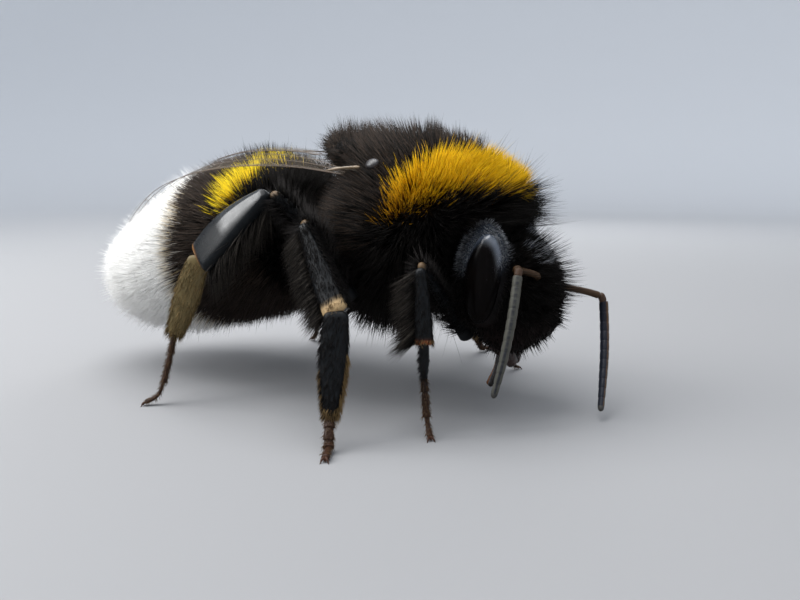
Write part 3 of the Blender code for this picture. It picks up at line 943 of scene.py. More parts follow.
def body_hairs(skin, tops, faces, settings, random):
    """Every hair of the body's coat, as a dict of arrays."""
    distances = marked(tops)
    region = distances.argmin(1)
    gena = gena_share(skin, eye_gap(skin)) * (region == HEAD)
    chosen, shares = scattered(skin, faces, coat_weight(skin, tops, region, gena, settings), random)

    def at(values):
        rows = values[faces[chosen]]
        return (rows * shares[:, :, None]).sum(1) if values.ndim == 2 else (rows * shares).sum(1)

    count = len(chosen)
    root, top, normal = at(skin), at(tops), unit(at(normals_of(skin, faces)))
    depth = np.linalg.norm(top - root, axis=1)
    kept_length = at(parting(skin, region))
    gena = at(gena)
    region = (at(distances) + random.normal(size=(count, len(REGIONS))) * REGION_FUZZ).argmin(1)
    in_head = region == HEAD

    # Which way each hair starts and ends
    lean, way = LEAN[region], WAY[region]
    way[in_head] = unit((root - HEAD_MIDDLE)[in_head] * (0.4, 1.0, 0.8)) * 0.5 + way[in_head]
    ruff = (region == BREAST) * step_between(root[:, 0], HEAD_LOW[0] - 1.0, HEAD_LOW[0] + 0.6)
    ruff = ruff * step_between(root[:, 2], HEAD_MIDDLE[2] + 0.6, HEAD_MIDDLE[2] + 1.8)
    way = mixed(way, (0.9, 0.0, 0.35), ruff)
    nape = (region == BACK) * (1 - step_between(root[:, 0], THORAX_LOW[0] + 0.6, THORAX_LOW[0] + 2.4))
    way[:, 2] += 0.5 * nape
    lean = lean * (1 - 0.35 * ruff)
    tangent = unit(way - normal * (way * normal).sum(1, keepdims=True))
    rise = unit(normal * 0.5 + unit(top - root) * 0.5)
    drift = waves(root, 1.1, 5) * 0.13 + random.normal(size=(count, 3)) * 0.10
    lean = lean * (1 - 0.3 * random.random(count)) + gena * 1.1
    start = unit(rise + tangent * (lean * 0.45)[:, None] + drift * 0.6)
    end = unit(rise + tangent * (lean * 1.25)[:, None] + drift)

    length, straggler = hair_lengths(root, top, depth, lean, region, gena, ruff, nape, random)
    upright = np.where(region == BACK, 0.25, 0.7)[:, None]
    loose_end = unit(end * np.where(in_head, 0.4, 1.0)[:, None] + rise * upright)
    end = np.where(straggler[:, None], loose_end, end)
    length = length * (0.25 + 0.75 * kept_length)
    end = tufted(root, start, end, length, (depth > 0.25) * (1 - 0.8 * ruff) * ~straggler, random)

    low, high = coat_tints(region, root, gena, random)
    width = settings.thickness / MM * (0.75 + 0.5 * random.random(count))
    width = width * np.where(gena > 0.5, 0.75, 1.0) * np.where(in_head, 0.8, 1.0)
    width = width * np.where(straggler, 0.75, 1.0) * (1 - 0.3 * ruff)
    part = np.where(in_head, 0, np.where(region < BASE, 1, 2))
    hairs = {"root": root - rise * 0.03, "start": start, "end": end, "length": length, "width": width,
             "low": low, "high": high, "place": unwrap(root, part), "region": region}
    spots = np.stack([root + length[:, None] * (start * (t - t**2 / 2) + end * (t**2 / 2))
                      for t in (0.25, 0.6, 1.0)])
    tree = tree_of(skin, faces)
    beads = np.array([bead_spot(tree, way)[0] for way in BEADS.values()])
    away = np.linalg.norm(spots[:, :, None] - beads, axis=3).min((0, 2))
    keep = ~(crowding_eye(spots, in_head) & (gena < 0.3)) & (away > BEAD_CLEAR)
    return {key: rows[keep] for key, rows in hairs.items()}


def parting(points, region):
    """1 where the thorax's hairs keep their length, falling to 0 beside the eyes, which they leave free."""
    ahead = step_between(points[:, 0], EYE_LOW[0] - 1.7, EYE_LOW[0] - 0.5)
    level = 1 - step_between(points[:, 2], EYE_HIGH[2] - 0.5, EYE_HIGH[2] + 0.5)
    aside = step_between(np.abs(points[:, 1]), 1.0, 1.8)
    return 1 - ahead * level * aside * (region != HEAD)


def gena_share(points, gap):
    """1 on the short-haired patch above and behind each eye, tinted pale grey partly as its own tone and
    partly as painted sheen; 0 away from it.
    """
    ahead = step_between(points[:, 0], EYE_LOW[0] + 0.9, EYE_HIGH[0] + 0.1)
    near = 1 - step_between(gap + 0.45 * ahead, 0.20, 0.95)
    above = step_between(points[:, 2] - 0.5 * ahead, EYE_LOW[2] + 1.6, EYE_LOW[2] + 2.5)
    outer = step_between(np.abs(points[:, 1]), 1.15, 1.65)
    return near * above * outer


def crowding_eye(hair_points, in_head):
    """True for hairs that cross an eye, and for the thorax's if they cross the cheek behind it."""
    found = np.zeros(hair_points.shape[1], bool)
    for side in SIDES:
        eye_centre, eye_radii, eye_axes = ball_of("eye_" + side)
        centre, radii, axes = cheek(side)
        for spots in hair_points:
            found |= egg_share(spots, eye_centre, eye_radii * EYE_CLEAR + 0.05, eye_axes) < 1
            found |= (egg_share(spots, centre, radii + CHEEK_CLEAR, axes) < 1) & ~in_head
    return found


def bead_spot(tree, way):
    """(point, normal) of a simple eye on the head's skin."""
    return on_skin(tree, HEAD_MIDDLE + (0.15, 0, 1.0), way)


def coat_tints(region, root, gena, random):
    """(root colour, tip colour) of each hair of the body; the darker roots are painted shade deep in the
    coat.
    """
    settings = bpy.context.scene.bee_coat
    black, gold, lemon, white, buff = (np.array(getattr(settings, name)) for name in
                                       ("black", "gold", "lemon", "white", "buff"))
    count = len(region)
    dice = random.random(count)
    high = np.tile(black, (count, 1)) * (0.7 + 1.6 * dice**3)[:, None]
    low = high * 0.5
    # The rear's hairs end in brownish tips: partly their own brown, partly a painted glint of light.
    brown_glint_tips = region == REAR
    high[brown_glint_tips] = mixed(black * 1.5, (0.085, 0.060, 0.045), dice[brown_glint_tips] ** 1.5)
    low[brown_glint_tips] = black * 1.2
    lit = (region == BACK) & (dice > 0.65)
    high[lit] = mixed(black * 2, (0.060, 0.040, 0.028), dice[lit])
    box_low, box_high = box_of("thorax_collar")
    # Collar hairs are orange low down and gold higher up: painted shade on the collar's lower side.
    collar_height = step_between(root[:, 2], box_low[2] + 0.2, box_high[2] - 2.2)
    shade = (0.82 + 0.36 * dice)[:, None]
    for number, colour, deep in ((COLLAR, gold, (0.22, 0.075, 0.003)), (BAND, lemon, (0.50, 0.27, 0.008))):
        chosen = region == number
        if number == COLLAR:
            colour = mixed((0.62, 0.30, 0.005), gold, collar_height[chosen])
        high[chosen] = (colour * shade[chosen]).clip(0, 1)
        low[chosen] = np.array(deep)
    tail = region == TAIL
    tail_front = box_of("abdomen_tail")[1][0]
    fringe = step_between(root[:, 0], tail_front - 0.75, tail_front - 0.15) * dice
    high[tail] = mixed(white, buff, fringe[tail]) * (0.9 + 0.1 * dice[tail])[:, None]
    low[tail] = mixed(white * 0.85, buff * 0.7, fringe[tail])
    under = (belly_share(root) + 0.12 * (dice - 0.5) > 0.42) & (region >= BAND) & ~tail
    under |= (region == COLLAR) & (dice < 0.07) & (collar_height < 0.9)  # and dark strays in the collar
    high[under] = mixed(black, (0.05, 0.035, 0.028), dice[under])
    low[under] = black * 0.5
    grey_sheen = gena > 0.65 * random.random(count) + 0.04
    # The patch's hairs are pale grey, partly their own tone and partly painted sheen, brighter towards the
    # eye's upper rim: painted light from above.
    rim = step_between(root[grey_sheen, 2], EYE_HIGH[2] - 1.6, EYE_HIGH[2] - 0.3)
    high[grey_sheen] = mixed((0.13, 0.137, 0.15), (0.95, 0.97, 1.0), dice[grey_sheen] ** 1.6)
    high[grey_sheen] *= (gena[grey_sheen] * (0.45 + 0.55 * rim))[:, None] * 0.9 + 0.05
    low[grey_sheen] = high[grey_sheen] * 0.35
    # A few pale grey hairs on the crown: partly their own pale tone, partly painted glints on the top of the
    # head.
    crown = (region == HEAD) & (root[:, 2] > HEAD_HIGH[2] - 1.35) & (root[:, 0] > HEAD_MIDDLE[0] + 0.4)
    pale = crown & (dice > 0.66) & (np.abs(root[:, 1]) < 0.8)
    high[pale] = (0.55, 0.56, 0.58)
    low[pale] = (0.08, 0.08, 0.085)
    return low, high


class BEE_OT_coat(bpy.types.Operator):
    """The hairs of head, thorax and abdomen, in one mesh for each band of colour"""
    bl_idname = "bee.coat"
    bl_label = "Body coat"

    def execute(self, context):
        mesh = bpy.data.objects["skin"].data
        skin, faces = mesh_arrays(mesh)
        tops = np.empty(len(skin) * 3, np.float32)
        mesh.attributes["coat_top"].data.foreach_get("vector", tops)
        tops = tops.reshape(-1, 3).astype(float)
        random = np.random.default_rng(COAT_SEED)
        hairs = body_hairs(skin / MM, tops, faces, context.scene.bee_coat, random)
        material = coat_finish()
        slots = ("black_coat", "golden_coat", "black_coat", "black_coat", "black_coat", "lemon_coat",
                 "black_coat", "white_coat")
        for number, name in enumerate(REGIONS):
            chosen = np.flatnonzero(hairs["region"] == number)
            parts = math.ceil(len(chosen) / MOST_HAIRS)
            for part in range(parts):
                some = chosen[part::parts]
                picked = {key: rows[some] for key, rows in hairs.items()}
                label = f"coat_{name}" + (f"_{part + 1}" if parts > 1 else "")
                hair_object(label, picked, material, slots[number])
        return {"FINISHED"}


# ---------------------------------------------------------------- head


def ball(centre, radii, axes=np.eye(3), sides=48, rings=32):
    """(points, triangles) of an ellipsoid with its poles along the last axis."""
    angle = np.linspace(0, math.pi, rings + 2)
    path = centre - np.cos(angle)[:, None] * axes[2] * radii[2]
    wide = np.sin(angle)[:, None]
    return loft(path, wide * axes[0] * radii[0], wide * axes[1] * radii[1], sides)


def on_skin(tree, start, way):
    """(point, normal) where a ray meets the skin."""
    spot, normal, _, _ = tree.ray_cast(Vector(start), Vector(way).normalized())
    if spot is None:
        raise RuntimeError("a ray misses the skin")
    return np.array(spot), np.array(normal)


def tinted(name, shape, material, colour, slot, *nodes, vary=0.0):
    """A finished object of one shape and tint."""
    points, faces = shape
    obj = tri_object(name, points, faces)
    tints = np.tile(np.array(colour, float), (len(points), 1))
    if vary:
        tints = tints * (1 + vary * waves(points, 0.6, len(points)))[:, :1].clip(0.2, 2)
    painted(obj, material, tints)
    return finish(obj, slot, *nodes)


EYE_SWELL = (1.16, 0.93, 0.955)  # the lens stands out a little further than its solid
EYE_BLACK = (0.004, 0.004, 0.005)
EYE_SHIFT = (-0.10, 0.05, 0.14)  # where its middle lies, against its solid's
BEAD_RADII = (0.16, 0.16, 0.14)


class BEE_OT_eyes(bpy.types.Operator):
    """The two long compound eyes and the three beads between them"""
    bl_idname = "bee.eyes"
    bl_label = "Eyes"

    def execute(self, context):
        material = eye_finish()
        for side, sign in SIDES.items():
            centre, radii, axes = ball_of("eye_" + side)
            centre = centre + np.array(EYE_SHIFT) * (1, sign, 1)
            shape = ball(centre, radii * EYE_SWELL, axes, 72, 56)
            obj = tinted("eye_" + side, shape, material, EYE_BLACK, "eye", "eye_" + side)
            out = (shape[0] - centre) @ axes.T / (radii * EYE_SWELL)
            # The rim mask: the eye's outer edge on its upper part, where the colour takes the painted
            # reflection and the gloss lies.
            edge = step_between(np.hypot(out[:, 1], out[:, 2]), 0.70, 0.95)
            upper = step_between((shape[0] - centre)[:, 2] / radii[2], -0.15, 0.60)
            with_values(obj, "rim", edge * upper)
        points, faces = mesh_arrays(bpy.data.objects["skin"].data)
        tree = tree_of(points / MM, faces)
        for name, way in BEADS.items():
            spot, normal = bead_spot(tree, way)
            obj = tinted(name, ball(spot + normal * 0.06, BEAD_RADII, frame_of(normal), 24, 14),
                         material, EYE_BLACK, "eye")
            # The beads take the painted reflection all over, with the gloss.
            with_values(obj, "rim", np.ones(len(obj.data.vertices)))
        return {"FINISHED"}


def frame_of(normal):
    """Three unit rows, the last along the normal."""
    helper = np.array((0, 0, 1.0)) if abs(normal[2]) < 0.8 else np.array((1.0, 0, 0))
    first = unit(np.cross(helper, normal))
    return np.array([first, np.cross(normal, first), normal])


class BEE_OT_mouth(bpy.types.Operator):
    """Jaws, upper lip and folded tongue"""
    bl_idname = "bee.mouth"
    bl_label = "Mouth"

    def execute(self, context):
        horn = shell_finish("horn", 0.26, 0.10, 0.012, 0.55)
        low, high = box_of("mandibles")
        middle = (low + high) / 2
        shapes = []
        for sign in SIDES.values():
            hinge = np.array((middle[0] - 0.10, sign * (high[1] - 0.28), high[2] + 0.35))
            elbow = np.array((middle[0] + 0.42, sign * (high[1] - 0.42), middle[2] + 0.10))
            tip = np.array((middle[0] + 0.50, sign * 0.10, low[2] + 0.06))
            shapes.append(rod([hinge, elbow, tip], lambda t: 0.44 * (1 - 0.45 * t) * rounded(t, 0.1, 0.12),
                              lambda t: 0.24 * (1 - 0.3 * t) * rounded(t, 0.1, 0.12), (1, sign * 0.8, 0.2)))
        tinted("mandibles", joined(shapes), horn, (0.022, 0.007, 0.004), "cuticle", "mandibles", vary=0.3)
        lip = ball(np.array((middle[0] + 0.62, 0, high[2] + 0.18)), (0.20, 0.62, 0.30), np.eye(3), 32, 20)
        tinted("labrum", lip, horn, (0.016, 0.007, 0.005), "cuticle")
        low, high = box_of("tongue")
        line = centre_line("tongue", np.array((high[0], 0, high[2])))
        line = np.vstack([line[:1] + (0.05, 0, 0.5), line[[2, 5, -1]]])
        tongue = rod(line, lambda t: 0.20 * (1 - 0.35 * t) * rounded(t), lambda t: 0.17 * rounded(t),
                     (1, 0, 0))
        tinted("tongue", tongue, horn, (0.20, 0.065, 0.015), "amber", "tongue", vary=0.4)
        palps = []
        for sign in SIDES.values():
            path = line + np.array((0.10, sign * 0.26, 0.05))
            palps.append(rod(path, lambda t: 0.10 * rounded(t), lambda t: 0.20 * (1 - 0.5 * t) * rounded(t),
                             (1, 0, 0)))
        tinted("galeae", joined(palps), horn, (0.012, 0.008, 0.006), "cuticle", vary=0.3)
        return {"FINISHED"}


# ---------------------------------------------------------------- feelers

WHIP_JOINTS = 11
SCAPE_RADIUS, WHIP_RADIUS = 0.118, 0.172
WHIP_END = 0.60  # the last joint's width as a share of the first's
WHIP_STEPS = 80  # points on the whip's line
SCAPE_TUCK = {"right": 0.45, "left": 0.0}  # how far the middle of the first joint is drawn to the face


class NodeRun:
    """A Geometry Nodes tree being made, with its named inputs."""

    def __init__(self, name, **inputs):
        self.tree = bpy.data.node_groups.new(name, "GeometryNodeTree")
        face = self.tree.interface
        face.new_socket("Geometry", in_out="INPUT", socket_type="NodeSocketGeometry")
        self.keys = {}
        for label, kind in inputs.items():
            socket = face.new_socket(label, in_out="INPUT", socket_type="NodeSocket" + kind)
            self.keys[label] = socket.identifier
        face.new_socket("Geometry", in_out="OUTPUT", socket_type="NodeSocketGeometry")
        self.given = self.tree.nodes.new("NodeGroupInput").outputs

    def node(self, kind, settings, sockets):
        """The outputs of a node, its settings made first and its sockets then given values or links."""
        made = self.tree.nodes.new(kind)
        for name, value in settings.items():
            setattr(made, name, value)
        for name, value in sockets.items():
            if isinstance(value, bpy.types.NodeSocket):
                self.tree.links.new(value, made.inputs[name])
            else:
                made.inputs[name].default_value = value
        return made.outputs

    def instanced(self, **sockets):
        """(tree, input keys), ended with instances on points, made real and given their material."""
        made = self.node("GeometryNodeInstanceOnPoints", {}, sockets)["Instances"]
        made = self.node("GeometryNodeRealizeInstances", {}, {"Geometry": made})["Geometry"]
        made = self.node("GeometryNodeSetMaterial", {}, {"Geometry": made,
                                                         "Material": self.given["Material"]})["Geometry"]
        end = self.tree.nodes.new("NodeGroupOutput")
        self.tree.links.new(made, end.inputs["Geometry"])
        return self.tree, self.keys


def joints_tree():
    """Geometry nodes that set barrel-shaped joints end to end along a curve, each a little slimmer."""
    run = NodeRun("Feeler joints", Joints="Int", Joint="Object", Material="Material")
    given = run.given
    points = run.node("GeometryNodeCurveToPoints", {"mode": "COUNT"},
                      {"Curve": given["Geometry"], "Count": given["Joints"]})
    index = run.node("GeometryNodeInputIndex", {}, {})["Index"]
    share = run.node("ShaderNodeMath", {"operation": "DIVIDE"}, {0: index, 1: given["Joints"]})[0]
    bent = run.node("ShaderNodeMath", {"operation": "POWER"}, {0: share, 1: 3.0})[0]
    size = run.node("ShaderNodeMapRange", {}, {"Value": bent, "To Min": 1.0, "To Max": WHIP_END})[0]
    scale = run.node("ShaderNodeCombineXYZ", {}, {"X": size, "Y": size, "Z": 1.0})[0]
    joint = run.node("GeometryNodeObjectInfo", {}, {"Object": given["Joint"]})["Geometry"]
    return run.instanced(Points=points["Points"], Instance=joint, Rotation=points["Rotation"], Scale=scale)


def by_nodes(name, source, tree, keys, values):
    """The plain mesh object that a node tree makes of a source, whose own object is removed."""
    step = source.modifiers.new("Nodes", "NODES")
    step.node_group = tree
    for key, value in values.items():
        step[keys[key]] = value
    source.update_tag()
    mesh = evaluated(source)
    if not mesh.polygons:
        raise RuntimeError(name + " came out empty")
    source.modifiers.remove(step)
    bpy.data.objects.remove(source, do_unlink=True)
    mesh.shade_smooth()
    return new_object(name, mesh)


def curve_object(name, line):
    """A curve straight from point to point of a line in millimetres."""
    curve = bpy.data.curves.new(name, "CURVE")
    curve.dimensions = "3D"
    spline = curve.splines.new("POLY")
    spline.points.add(len(line) - 1)
    for point, spot in zip(spline.points, line):
        point.co = (*(spot * MM), 1)
    return new_object(name, curve)


def barrel(length):
    """The joint that the whip repeats: a little narrower at both ends, along Z."""
    shares = np.linspace(0, math.pi, 15)
    path = -np.cos(shares)[:, None] * np.array((0, 0, length * 0.54))
    radius = (np.sin(shares) ** 0.07 * WHIP_RADIUS * (0.975 + 0.025 * np.sin(shares)))[:, None]
    radius[[0, -1]] = 0
    shape = loft(path, radius * (1, 0, 0), radius * (0, 1, 0), 18)
    return tri_object("joint", *shape)


def whip_tints(points, line, sign):
    """Grey with a dark stripe on the outer side, the grey partly its own tone and partly a painted sheen on
    the edges; dark with a brown front edge on the inner one.
    """
    out = unit(points - line[nearest_of(line, points)])
    outer = out @ unit(np.array((0.3, sign, 0.0)))
    grey, dark, brown = (0.078, 0.076, 0.062), (0.007, 0.009, 0.017), (0.15, 0.07, 0.02)
    # Grey on the outer side round a dark stripe: partly the fine hairs' own grey, partly painted sheen on
    # the edges.
    tints = mixed(dark, grey, step_between(outer, -0.25, 0.4))
    tints = mixed(tints, dark, 0.85 * step_between(outer, 0.86, 0.99))
    return mixed(tints, brown, step_between(out[:, 0], 0.55, 0.9) * step_between(-outer, -0.2, 0.3))


class BEE_OT_feelers(bpy.types.Operator):
    """Both feelers: first joint, elbow, and the whip of eleven joints"""
    bl_idname = "bee.feelers"
    bl_label = "Feelers"

    def execute(self, context):
        material = shell_finish("feeler", 0.46, 0.035, 0.004, 0.25)
        tree, keys = joints_tree()
        for side, sign in SIDES.items():
            scape, whip = "scape_" + side, "flagellum_" + side
            face = np.array((HEAD_HIGH[0], sign * 0.5, HEAD_MIDDLE[2]))
            line = centre_line(scape, face)
            line[0] = line[1] + unit(HEAD_MIDDLE - line[1]) * 0.9
            bow = np.sin(np.linspace(0, math.pi, len(line)))
            line = line - bow[:, None] * (SCAPE_TUCK[side], 0, 0)
            first = round_rod(line[[0, 1, 3, 5, 7, -1]],
                              lambda t: SCAPE_RADIUS * (0.85 + 0.3 * t) * rounded(t, .03, .03),
                              (0, sign, 0.3), 40)
            tinted(scape, first, material, (0.050, 0.025, 0.010), "cuticle", scape)
            elbow = line[-1]
            line = centre_line(whip, elbow)
            knob = round_rod([elbow - unit(line[1] - line[0]) * 0.06, (elbow + line[0]) / 2,
                              line[1] * 0.35 + line[0] * 0.65],
                             lambda t: 0.14 * rounded(t, 0.3, 0.3), (0, sign, 0.3), 14)
            tinted("pedicel_" + side, knob, material, (0.065, 0.035, 0.02), "cuticle")
            line[0] = line[0] * 0.75 + line[1] * 0.25
            smooth = along_line(line[SPARSE], np.linspace(0, 1, WHIP_STEPS))
            whole = np.linalg.norm(np.diff(smooth, axis=0), axis=1).sum()
            joint = barrel(whole / WHIP_JOINTS)
            middle = along_line(smooth, np.linspace(0.5, WHIP_JOINTS - 0.5, WHIP_STEPS) / WHIP_JOINTS)
            made = by_nodes(whip, curve_object("run", middle), tree, keys,
                            {"Joints": WHIP_JOINTS, "Joint": joint, "Material": material})
            bpy.data.objects.remove(joint, do_unlink=True)
            with_tints(made, whip_tints(mesh_arrays(made.data)[0] / MM, smooth, sign))
            finish(made, "cuticle", whip)
            blunt = WHIP_RADIUS * (1 - (1 - WHIP_END) * (1 - 1 / WHIP_JOINTS) ** 3)
            end = frame_of(unit(smooth[-1] - smooth[-3]))
            tinted("feeler_tip_" + side, ball(smooth[-1], (blunt * 0.95, blunt * 0.95, 0.16), end, 24, 14),
                   material, (0.045, 0.043, 0.038), "cuticle")
        return {"FINISHED"}


# ---------------------------------------------------------------- legs

OUTWARD = (0.25, 1.0, 0.1)
BACKWARD = (-1.0, 0.0, -0.15)  # the edge of a limb that bears its long hairs
FEMUR = {"fore": (0.30, 0.24), "mid": (0.33, 0.27), "hind": (0.40, 0.30)}
TIBIA = {"fore": (0.18, 0.30, 0.20), "mid": (0.20, 0.46, 0.23), "hind": (0.26, 0.82, 0.30)}
BASITARSUS = {"fore": (0.16, 0.13), "mid": (0.46, 0.17), "hind": (0.47, 0.15)}
HIDDEN_THIGH = 1.6  # how far a thigh runs on into the body
FOOT_JOINTS = (0.26, 0.20, 0.17, 0.37)  # shares of the rest of the foot
BLACK_SHELL, OLIVE, AMBER = (0.005, 0.006, 0.007), (0.17, 0.125, 0.05), (0.36, 0.15, 0.03)
TAN, IVORY, OLIVE_DARK = (0.30, 0.19, 0.085), (0.42, 0.29, 0.15), (0.14, 0.105, 0.045)
FOOT_BROWN, CLAW_BROWN, BRISTLE_BROWN = (0.030, 0.014, 0.008), (0.045, 0.016, 0.007), (0.10, 0.06, 0.03)
LIMB_SIDES, LIMB_RINGS = 32, 32
TIBIA_FACES = {  # power of the section, outward direction and the fringed edge
    "fore": (2.3, OUTWARD, BACKWARD), "mid": (2.3, OUTWARD, BACKWARD),
    "hind": (3.2, (-0.15, 0.85, 0.50), (0.6, 0.0, -0.8)),
}


class Limb:
    """A leg's length: a rod with its own breadths, on which hairs can be placed.

    Its across directions point to the edge that bears the long hairs.
    """

    def __init__(self, line, wide, deep, side, square=2.2, outer=OUTWARD, fringe=BACKWARD):
        share = 0.5 * (1 - np.cos(np.linspace(0, math.pi, LIMB_RINGS)))
        out = np.array(outer) * (1, side, 1)
        self.path = along_line(line, share)
        self.share = share
        self.along, self.across, self.out = frames_along(self.path, out)
        self.wide = np.array([wide(t) for t in share])
        self.deep = np.array([deep(t) for t in share])
        self.square = square
        if (self.across @ fringe).mean() < 0:
            self.across = -self.across

    def shape(self):
        """(points, triangles) of the length."""
        return loft(self.path, self.across * self.wide[:, None], self.out * self.deep[:, None],
                    LIMB_SIDES, self.square)

    def spots(self, share, angle):
        """(points, outward directions, run of the limb) on the surface at shares and angles.

        An angle of 0 is on the across side, a quarter turn on the outer side.
        """
        def at(values):
            if values.ndim == 1:
                return np.interp(share, self.share, values)
            return np.stack([np.interp(share, self.share, values[:, k]) for k in range(3)], 1)
        cos, sin = np.cos(angle), np.sin(angle)
        reach = (np.abs(cos) ** self.square + np.abs(sin) ** self.square) ** (-1 / self.square)
        wide, deep = np.maximum(at(self.wide), 0.02), np.maximum(at(self.deep), 0.02)
        across, out = unit(at(self.across)), unit(at(self.out))
        spot = at(self.path) + across * (wide * cos * reach)[:, None] + out * (deep * sin * reach)[:, None]
        normal = unit(across * (cos / wide)[:, None] + out * (sin / deep)[:, None])
        return spot, normal, unit(at(self.along))


def polished_field(limb):
    """1 on the upper part of a basket's outer face, near its top, for each point of its shape."""
    angle = np.arange(LIMB_SIDES) * 2 * math.pi / LIMB_SIDES
    around = (1 - step_between(np.cos(angle), 0.25, 0.5)) * step_between(np.sin(angle), 0.0, 0.3)
    along = limb.share[1:-1]
    along = step_between(along, 0.03, 0.08) * (1 - step_between(along, 0.52, 0.63))
    return np.append(np.outer(along, around).ravel(), (0, 0))


def lengths_of_leg(pair, side, sign):
    """(thigh, shin, first joint of the foot, line of the rest of the foot)."""
    leg = f"_{pair}_{side}"
    low, high = box_of("femur" + leg)
    thigh = centre_line("femur" + leg, (low + high) / 2 * (1, 0, 0.6))
    inward = unit(thigh[0] - thigh[-1])
    thigh = np.vstack([thigh[0] + inward * HIDDEN_THIGH, thigh[[1, 4, -1]]])
    shin = centre_line("tibia" + leg, thigh[-1])
    shin[0] = shin[0] * 0.45 + thigh[-1] * 0.55
    if pair == "hind":
        shin = shin + np.sin(np.linspace(0, math.pi, len(shin)))[:, None] * (-0.10, 0, 0.13)
    first = centre_line("basitarsus" + leg, shin[-1])
    first[0] = shin[-1] + unit(shin[-1] - first[2]) * 0.16
    rest = centre_line("tarsus" + leg, first[-1])
    rest[0] = first[-1] + unit(first[-1] - rest[2]) * 0.14
    wide, deep = FEMUR[pair]
    femur = Limb(thigh, lambda t: wide * (1 - 0.48 * t) * rounded(t, 0.02, 0.05),
                 lambda t: deep * (1 - 0.15 * t) * rounded(t, 0.02, 0.05), sign)
    top, end, thick = TIBIA[pair]
    grow = {"fore": 1.4, "mid": 1.2, "hind": 0.9}[pair]
    turn = math.pi * (0.66 if pair == "hind" else 0.5)
    tibia = Limb(shin[SPARSE],
                 lambda t: (top + (end - top) * math.sin(turn * t) ** grow) * rounded(t, 0.07, 0.035),
                 lambda t: thick * (1 - 0.25 * t) * rounded(t, 0.07, 0.05), sign, *TIBIA_FACES[pair])
    broad, slim = BASITARSUS[pair]
    taper = 0.48 if pair == "mid" else 0.24
    basitarsus = Limb(first[SPARSE],
                      lambda t: broad * (0.86 + 0.24 * math.sin(math.pi * t) - taper * t**2) * rounded(t),
                      lambda t: slim * rounded(t, 0.08), sign, square=2.7)
    return femur, tibia, basitarsus, rest


def claw(start, way, side, size):
    """A forked claw: a long outer tooth and a short inner one."""
    down = np.array((0, 0, -1.0))
    shapes = []
    for long, spread in ((1.0, 0.55), (0.62, 0.15)):
        reach = way + side * spread
        line = [start, start + reach * size * 0.5 * long + down * size * 0.05,
                start + reach * size * 0.9 * long + down * size * 0.55 * long]
        shapes.append(rod(line, lambda t: 0.050 * (1 - 0.9 * t) * rounded(t, 0.1, 0.02),
                          lambda t: 0.060 * (1 - 0.9 * t) * rounded(t, 0.1, 0.02), side, 12, 10))
    return joined(shapes)


def foot_shapes(rest, wide):
    """(joints, claws) of the foot beyond its first joint, in triangles."""
    edges = np.concatenate([[0], np.cumsum(FOOT_JOINTS)])
    joints = []
    for place, (low, high) in enumerate(zip(edges, edges[1:])):
        ends = along_line(rest[SPARSE], [max(low - 0.03, 0.0), (low + high) / 2, min(high + 0.01, 1.0)])
        last = place == len(FOOT_JOINTS) - 1
        if last:
            ends[-1, 2] = max(ends[-1, 2], 0.13)
        breadth = wide * (0.72 if last else 1.0)
        joints.append(rod(ends, lambda t: breadth * (0.72 + 0.40 * t) * rounded(t, 0.08),
                          lambda t: breadth * 0.8 * (0.6 + 0.4 * t) * rounded(t, 0.12, 0.08),
                          (0, 0, 1), 14, 14))
    end = along_line(rest[SPARSE], [0.93, 0.97])
    way = unit((end[1] - end[0]) * (1, 1, 0.2))
    side = unit(np.cross(way, (0, 0, 1)))
    start = end[1] * (1, 1, 0) + (0, 0, 0.14)
    claws = [claw(start, way, side * turn, 0.30) for turn in (-1, 1)]
    (joints, faces), (claws, corners) = joined(joints), joined(claws)
    return (above_floor(joints), faces), (above_floor(claws), corners)


def bristle_tree():
    """Geometry nodes that stand short spines on a surface, leaning one way."""
    run = NodeRun("Bristles", Density="Float", Length="Float", Thickness="Float", Lean="Vector", Seed="Int",
                  Material="Material")
    given = run.given
    seed = given["Seed"]
    spread = run.node("GeometryNodeDistributePointsOnFaces", {},
                      {"Mesh": given["Geometry"], "Density": given["Density"], "Seed": seed})
    spine = run.node("GeometryNodeMeshCone", {}, {"Vertices": 3, "Radius Bottom": given["Thickness"],
                                                  "Depth": given["Length"]})["Mesh"]
    wobble = run.node("FunctionNodeRandomValue", {"data_type": "FLOAT_VECTOR"},
                      {0: (-0.25, -0.25, -0.25), 1: (0.25, 0.25, 0.25), "Seed": seed})[0]
    lean = run.node("ShaderNodeVectorMath", {"operation": "ADD"}, {0: spread["Normal"], 1: given["Lean"]})[0]
    shaken = run.node("ShaderNodeVectorMath", {"operation": "ADD"}, {0: lean, 1: wobble})[0]
    turn = run.node("FunctionNodeAlignRotationToVector", {"axis": "Z"}, {"Vector": shaken})["Rotation"]
    size = run.node("FunctionNodeRandomValue", {}, {2: 0.55, 3: 1.15, "Seed": seed})[1]
    return run.instanced(Points=spread["Points"], Instance=spine, Rotation=turn, Scale=size)


